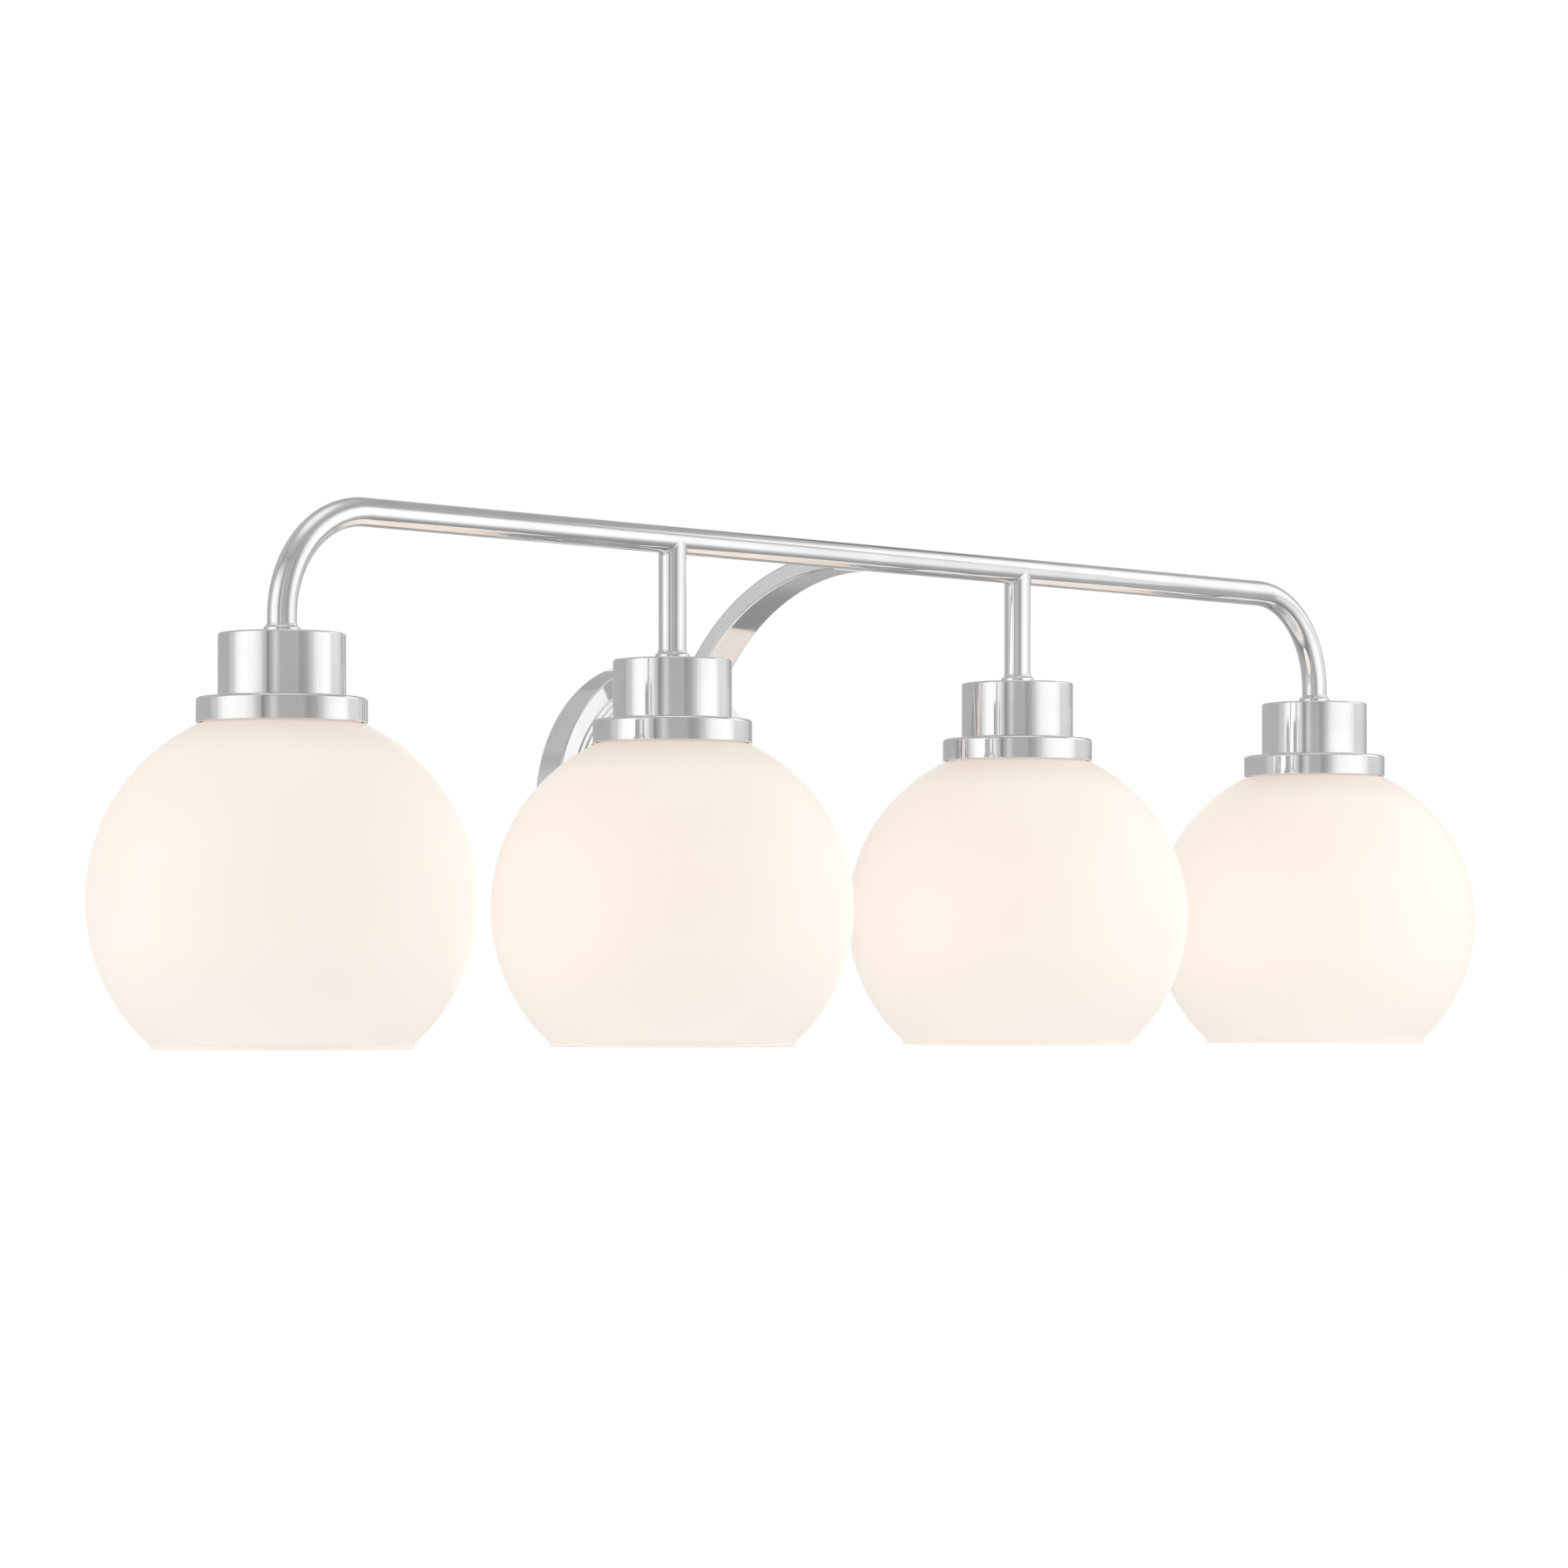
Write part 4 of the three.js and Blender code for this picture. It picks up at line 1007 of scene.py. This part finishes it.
def make_lead(number):
    """From a socket up its stem, along the bar, down the arm, through the grommet and into a connector."""
    low, high, _ = span(f"lead_{number}")
    radius = 1.2 * MM
    light_x = span(f"socket_cup_{number}")[2].x
    side = 1 if light_x > 0 else -1
    is_middle = number in (2, 3)
    arm_y = span("curved_arm")[1].y - ARM_THICK / 2
    slot_z = span("lead_grommet")[2].z
    nut_low, _, nut = span(f"wire_nut_{'right' if side > 0 else 'left'}")
    run_y = BAR_Y - (2.9 * MM if is_middle else 0)
    run_z = high.z - radius
    arm_x = side * (3.8 if is_middle else 6.6) * MM
    end_x = nut.x + side * (-1.4 if is_middle else 1.4) * MM
    corners = [(light_x, BAR_Y, low.z, 0)]
    if is_middle:
        corners += [(light_x, BAR_Y, 68.5 * MM, 20 * MM), (light_x, run_y, 93.5 * MM, 20 * MM)]
    corners += [
        (light_x, run_y, run_z, 4 * MM if is_middle else BAR_BEND_R - MM),
        (arm_x, run_y, run_z, 3.4 * MM),
        (arm_x, arm_y, run_z, ARM_BEND_R - 1.5 * MM),
        (arm_x, arm_y, slot_z, 3.6 * MM),
        (arm_x, -13 * MM, slot_z, 4 * MM),
        (end_x, nut.y, nut_low.z - 4 * MM, 5 * MM),
        (end_x, nut.y, nut_low.z + 5 * MM, 0),
    ]
    swept(f"sleeved_lead_{number}", rounded_path(corners, 16), circle(radius, 20), (0, 1, 0.1), SLEEVE,
          replaces=(f"lead_{number}",))


# ---- the whole light -------------------------------------------------------------------------------

make_bar()
make_stem("left", 2)
make_stem("right", 3)
make_arm()
make_wall_plate()
make_bracket()
make_studs()
make_hex_screw("ground_terminal", "ground_screw", GREEN, -1)
for which in ("upper", "lower"):
    make_hex_screw(f"arm_bolt_{which}", f"arm_screw_{which}", ZINC, 1)
make_grommet()
for which in SIDES:
    make_wire_nut(which)
for light in LIGHTS:
    make_light(light)
    make_lead(light)
    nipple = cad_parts[f"stem_nipple_{light}"]
    nipple.data.materials.clear()
    nipple.data.materials.append(ZINC)

# ---- studio ----------------------------------------------------------------------------------------

AROUND = 0.44  # the grey of the studio round the panels


def ease(tree, source, start, end):
    """0 at start, 1 at end, smoothly."""
    node = tree.nodes.new("ShaderNodeMapRange")
    node.interpolation_type = "SMOOTHSTEP"
    node.inputs["From Min"].default_value = start
    node.inputs["From Max"].default_value = end
    tree.links.new(source, node.inputs["Value"])
    return node.outputs["Result"]


def arithmetic(tree, operation, a, b):
    node = tree.nodes.new("ShaderNodeMath")
    node.operation = operation
    for socket, value in zip(node.inputs, (a, b)):
        if isinstance(value, (int, float)):
            socket.default_value = value
        else:
            tree.links.new(value, socket)
    return node.outputs[0]


def grey_ramp(tree, source, stops, blue=1.0):
    """Greys at places from 0 to 1, eased from each to the next, with blue times as much blue."""
    ramp = tree.nodes.new("ShaderNodeValToRGB")
    ramp.color_ramp.interpolation = "EASE"
    elements = ramp.color_ramp.elements
    while len(elements) < len(stops):
        elements.new(0.5)
    for element, (place, grey) in zip(elements, stops):
        element.position = place
        element.color = (grey, grey, grey * blue, 1)
    tree.links.new(source, ramp.inputs["Fac"])
    return ramp.outputs["Color"]

def panel(name, start, end, low, high, strengths, rise, fall):
    """An upright light panel over a line in the floor plan, from one height to another. strengths are
    (share of the way along it, strength). Over its first rise and last fall it fades to AROUND."""
    corners = [(*start, low), (*end, low), (*end, high), (*start, high)]
    mesh = bpy.data.meshes.new(name)
    mesh.from_pydata(corners, [], [(0, 1, 2, 3)])
    layer = mesh.uv_layers.new(name="UVMap")
    for loop, uv in zip(layer.data, ((0, 0), (1, 0), (1, 1), (0, 1))):
        loop.uv = uv
    made = bpy.data.objects.new(name, mesh)
    bpy.context.scene.collection.objects.link(made)
    material = bpy.data.materials.new(name)
    material.use_nodes = True
    tree = material.node_tree
    tree.nodes.clear()
    emission = tree.nodes.new("ShaderNodeEmission")
    output = tree.nodes.new("ShaderNodeOutputMaterial")
    tree.links.new(emission.outputs[0], output.inputs["Surface"])
    place_on_panel = tree.nodes.new("ShaderNodeUVMap")
    split = tree.nodes.new("ShaderNodeSeparateXYZ")
    tree.links.new(place_on_panel.outputs[0], split.inputs[0])
    u, v = split.outputs["X"], split.outputs["Y"]
    brightest = max(strength for _, strength in strengths)
    greys = grey_ramp(tree, u, [(place, strength / brightest) for place, strength in strengths])
    over = arithmetic(tree, "SUBTRACT", arithmetic(tree, "MULTIPLY", greys, brightest), AROUND)
    share = arithmetic(tree, "MULTIPLY", ease(tree, v, 0, rise), ease(tree, v, 1, 1 - fall))
    strength = arithmetic(tree, "ADD", arithmetic(tree, "MULTIPLY", over, share), AROUND)
    tree.links.new(strength, emission.inputs["Strength"])
    mesh.materials.append(material)
    made.visible_camera = False

def make_world():
    """Grey studio walls between a bright floor and ceiling, and a white background."""
    world = bpy.data.worlds.new("studio")
    bpy.context.scene.world = world
    world.use_nodes = True
    tree = world.node_tree
    tree.nodes.clear()
    place = tree.nodes.new("ShaderNodeTexCoord")
    split = tree.nodes.new("ShaderNodeSeparateXYZ")
    tree.links.new(place.outputs["Generated"], split.inputs[0])
    height = arithmetic(tree, "MULTIPLY", arithmetic(tree, "ADD", split.outputs["Z"], 1), 0.5)
    stops = [(0.0, 0.95), (0.06, 0.8), (0.13, 0.28), (0.2, 0.32), (0.28, 0.44), (0.5, 0.46),
             (0.7, 0.48), (0.8, 0.44), (0.87, 0.4), (0.94, 0.5), (1.0, 0.95)]
    studio = tree.nodes.new("ShaderNodeBackground")
    tree.links.new(grey_ramp(tree, height, stops, blue=1.01), studio.inputs["Color"])
    backdrop = tree.nodes.new("ShaderNodeBackground")
    backdrop.inputs["Color"].default_value = (1, 1, 1, 1)
    path = tree.nodes.new("ShaderNodeLightPath")
    mix = tree.nodes.new("ShaderNodeMixShader")
    output = tree.nodes.new("ShaderNodeOutputWorld")
    tree.links.new(path.outputs["Is Camera Ray"], mix.inputs["Fac"])
    tree.links.new(studio.outputs[0], mix.inputs[1])
    tree.links.new(backdrop.outputs[0], mix.inputs[2])
    tree.links.new(mix.outputs[0], output.inputs["Surface"])


def make_floor():
    """A plain white floor, well below a light that hangs on a wall."""
    size, height = 54.0, -3.4
    mesh = bpy.data.meshes.new("floor")
    mesh.from_pydata([(-size, -size, height), (size, -size, height), (size, size, height),
                      (-size, size, height)], [], [(0, 1, 2, 3)])
    floor = bpy.data.objects.new("floor", mesh)
    bpy.context.scene.collection.objects.link(floor)
    material = bpy.data.materials.new("floor_white")
    material.use_nodes = True
    shader = material.node_tree.nodes["Principled BSDF"]
    shader.inputs["Base Color"].default_value = (0.9, 0.9, 0.9, 1)
    shader.inputs["Roughness"].default_value = 0.9
    shader.inputs["Emission Color"].default_value = (1, 1, 1, 1)
    shader.inputs["Emission Strength"].default_value = 0.6
    mesh.materials.append(material)
    floor.visible_glossy = False
    floor.visible_diffuse = False
    floor.visible_transmission = False


def make_camera():
    data = bpy.data.cameras.new("camera")
    camera = bpy.data.objects.new("camera", data)
    bpy.context.scene.collection.objects.link(camera)
    heading = math.radians(46.487)
    camera.location = (-1.7618, -1.7646, -0.0939)
    camera.rotation_mode = "QUATERNION"
    forward = Vector((math.sin(heading), math.cos(heading), 0))
    camera.rotation_quaternion = forward.to_track_quat("-Z", "Y")
    data.sensor_width = 36
    data.lens = 122.6
    data.shift_y = 0.1454
    data.clip_start = 0.05
    data.clip_end = 200
    bpy.context.scene.camera = camera


make_world()
make_floor()
panel("panel_right", (-0.62, -1.1), (1.4, -1.1), -0.75, 1.15,
      [(0, 0.48), (0.09, 0.36), (0.16, 0.42), (0.24, 0.6), (0.31, 0.84), (0.37, 1.0), (0.48, 1.07),
       (0.6, 1.12), (0.73, 1.09), (0.85, 0.96), (1, 0.8)], 0.38, 0.36)
panel("panel_left", (-1.4, -1.25), (-1.4, 1.8), -0.75, 1.3,
      [(0, 0.48), (0.1, 0.68), (0.18, 0.42), (0.21, 0.27), (0.25, 0.55), (0.33, 0.92), (0.39, 1.05),
       (0.5, 1.12), (0.6, 1.06), (0.68, 0.88), (0.76, 0.64), (1, 0.54)], 0.38, 0.36)
panel("panel_high", (1.4, -1.15), (1.4, 0.05), -0.3, 1.6,
      [(0, 0.9), (0.15, 1.1), (0.6, 1.08), (0.75, 0.9), (0.88, 0.66), (1, 0.5)], 0.45, 0.2)
panel("flag", (1.38, 0.28), (1.2, 0.74), 0.98, 1.3, [(0, 0.4), (0.25, 0.1), (0.7, 0.1), (1, 0.5)],
      0.2, 0.2)
panel("panel_edge", (1.2, 0.72), (0.9, 1.15), 0.1, 1.1, [(0, 0.6), (0.3, 0.9), (1, 0.9)], 0.3, 0.3)
panel("panel_back", (-1.35, 1.9), (0.6, 1.9), 0.6, 2.6, [(0, 0.51), (1, 0.51)], 0.2, 0.2)
make_camera()
bpy.context.scene.view_settings.view_transform = "Standard"
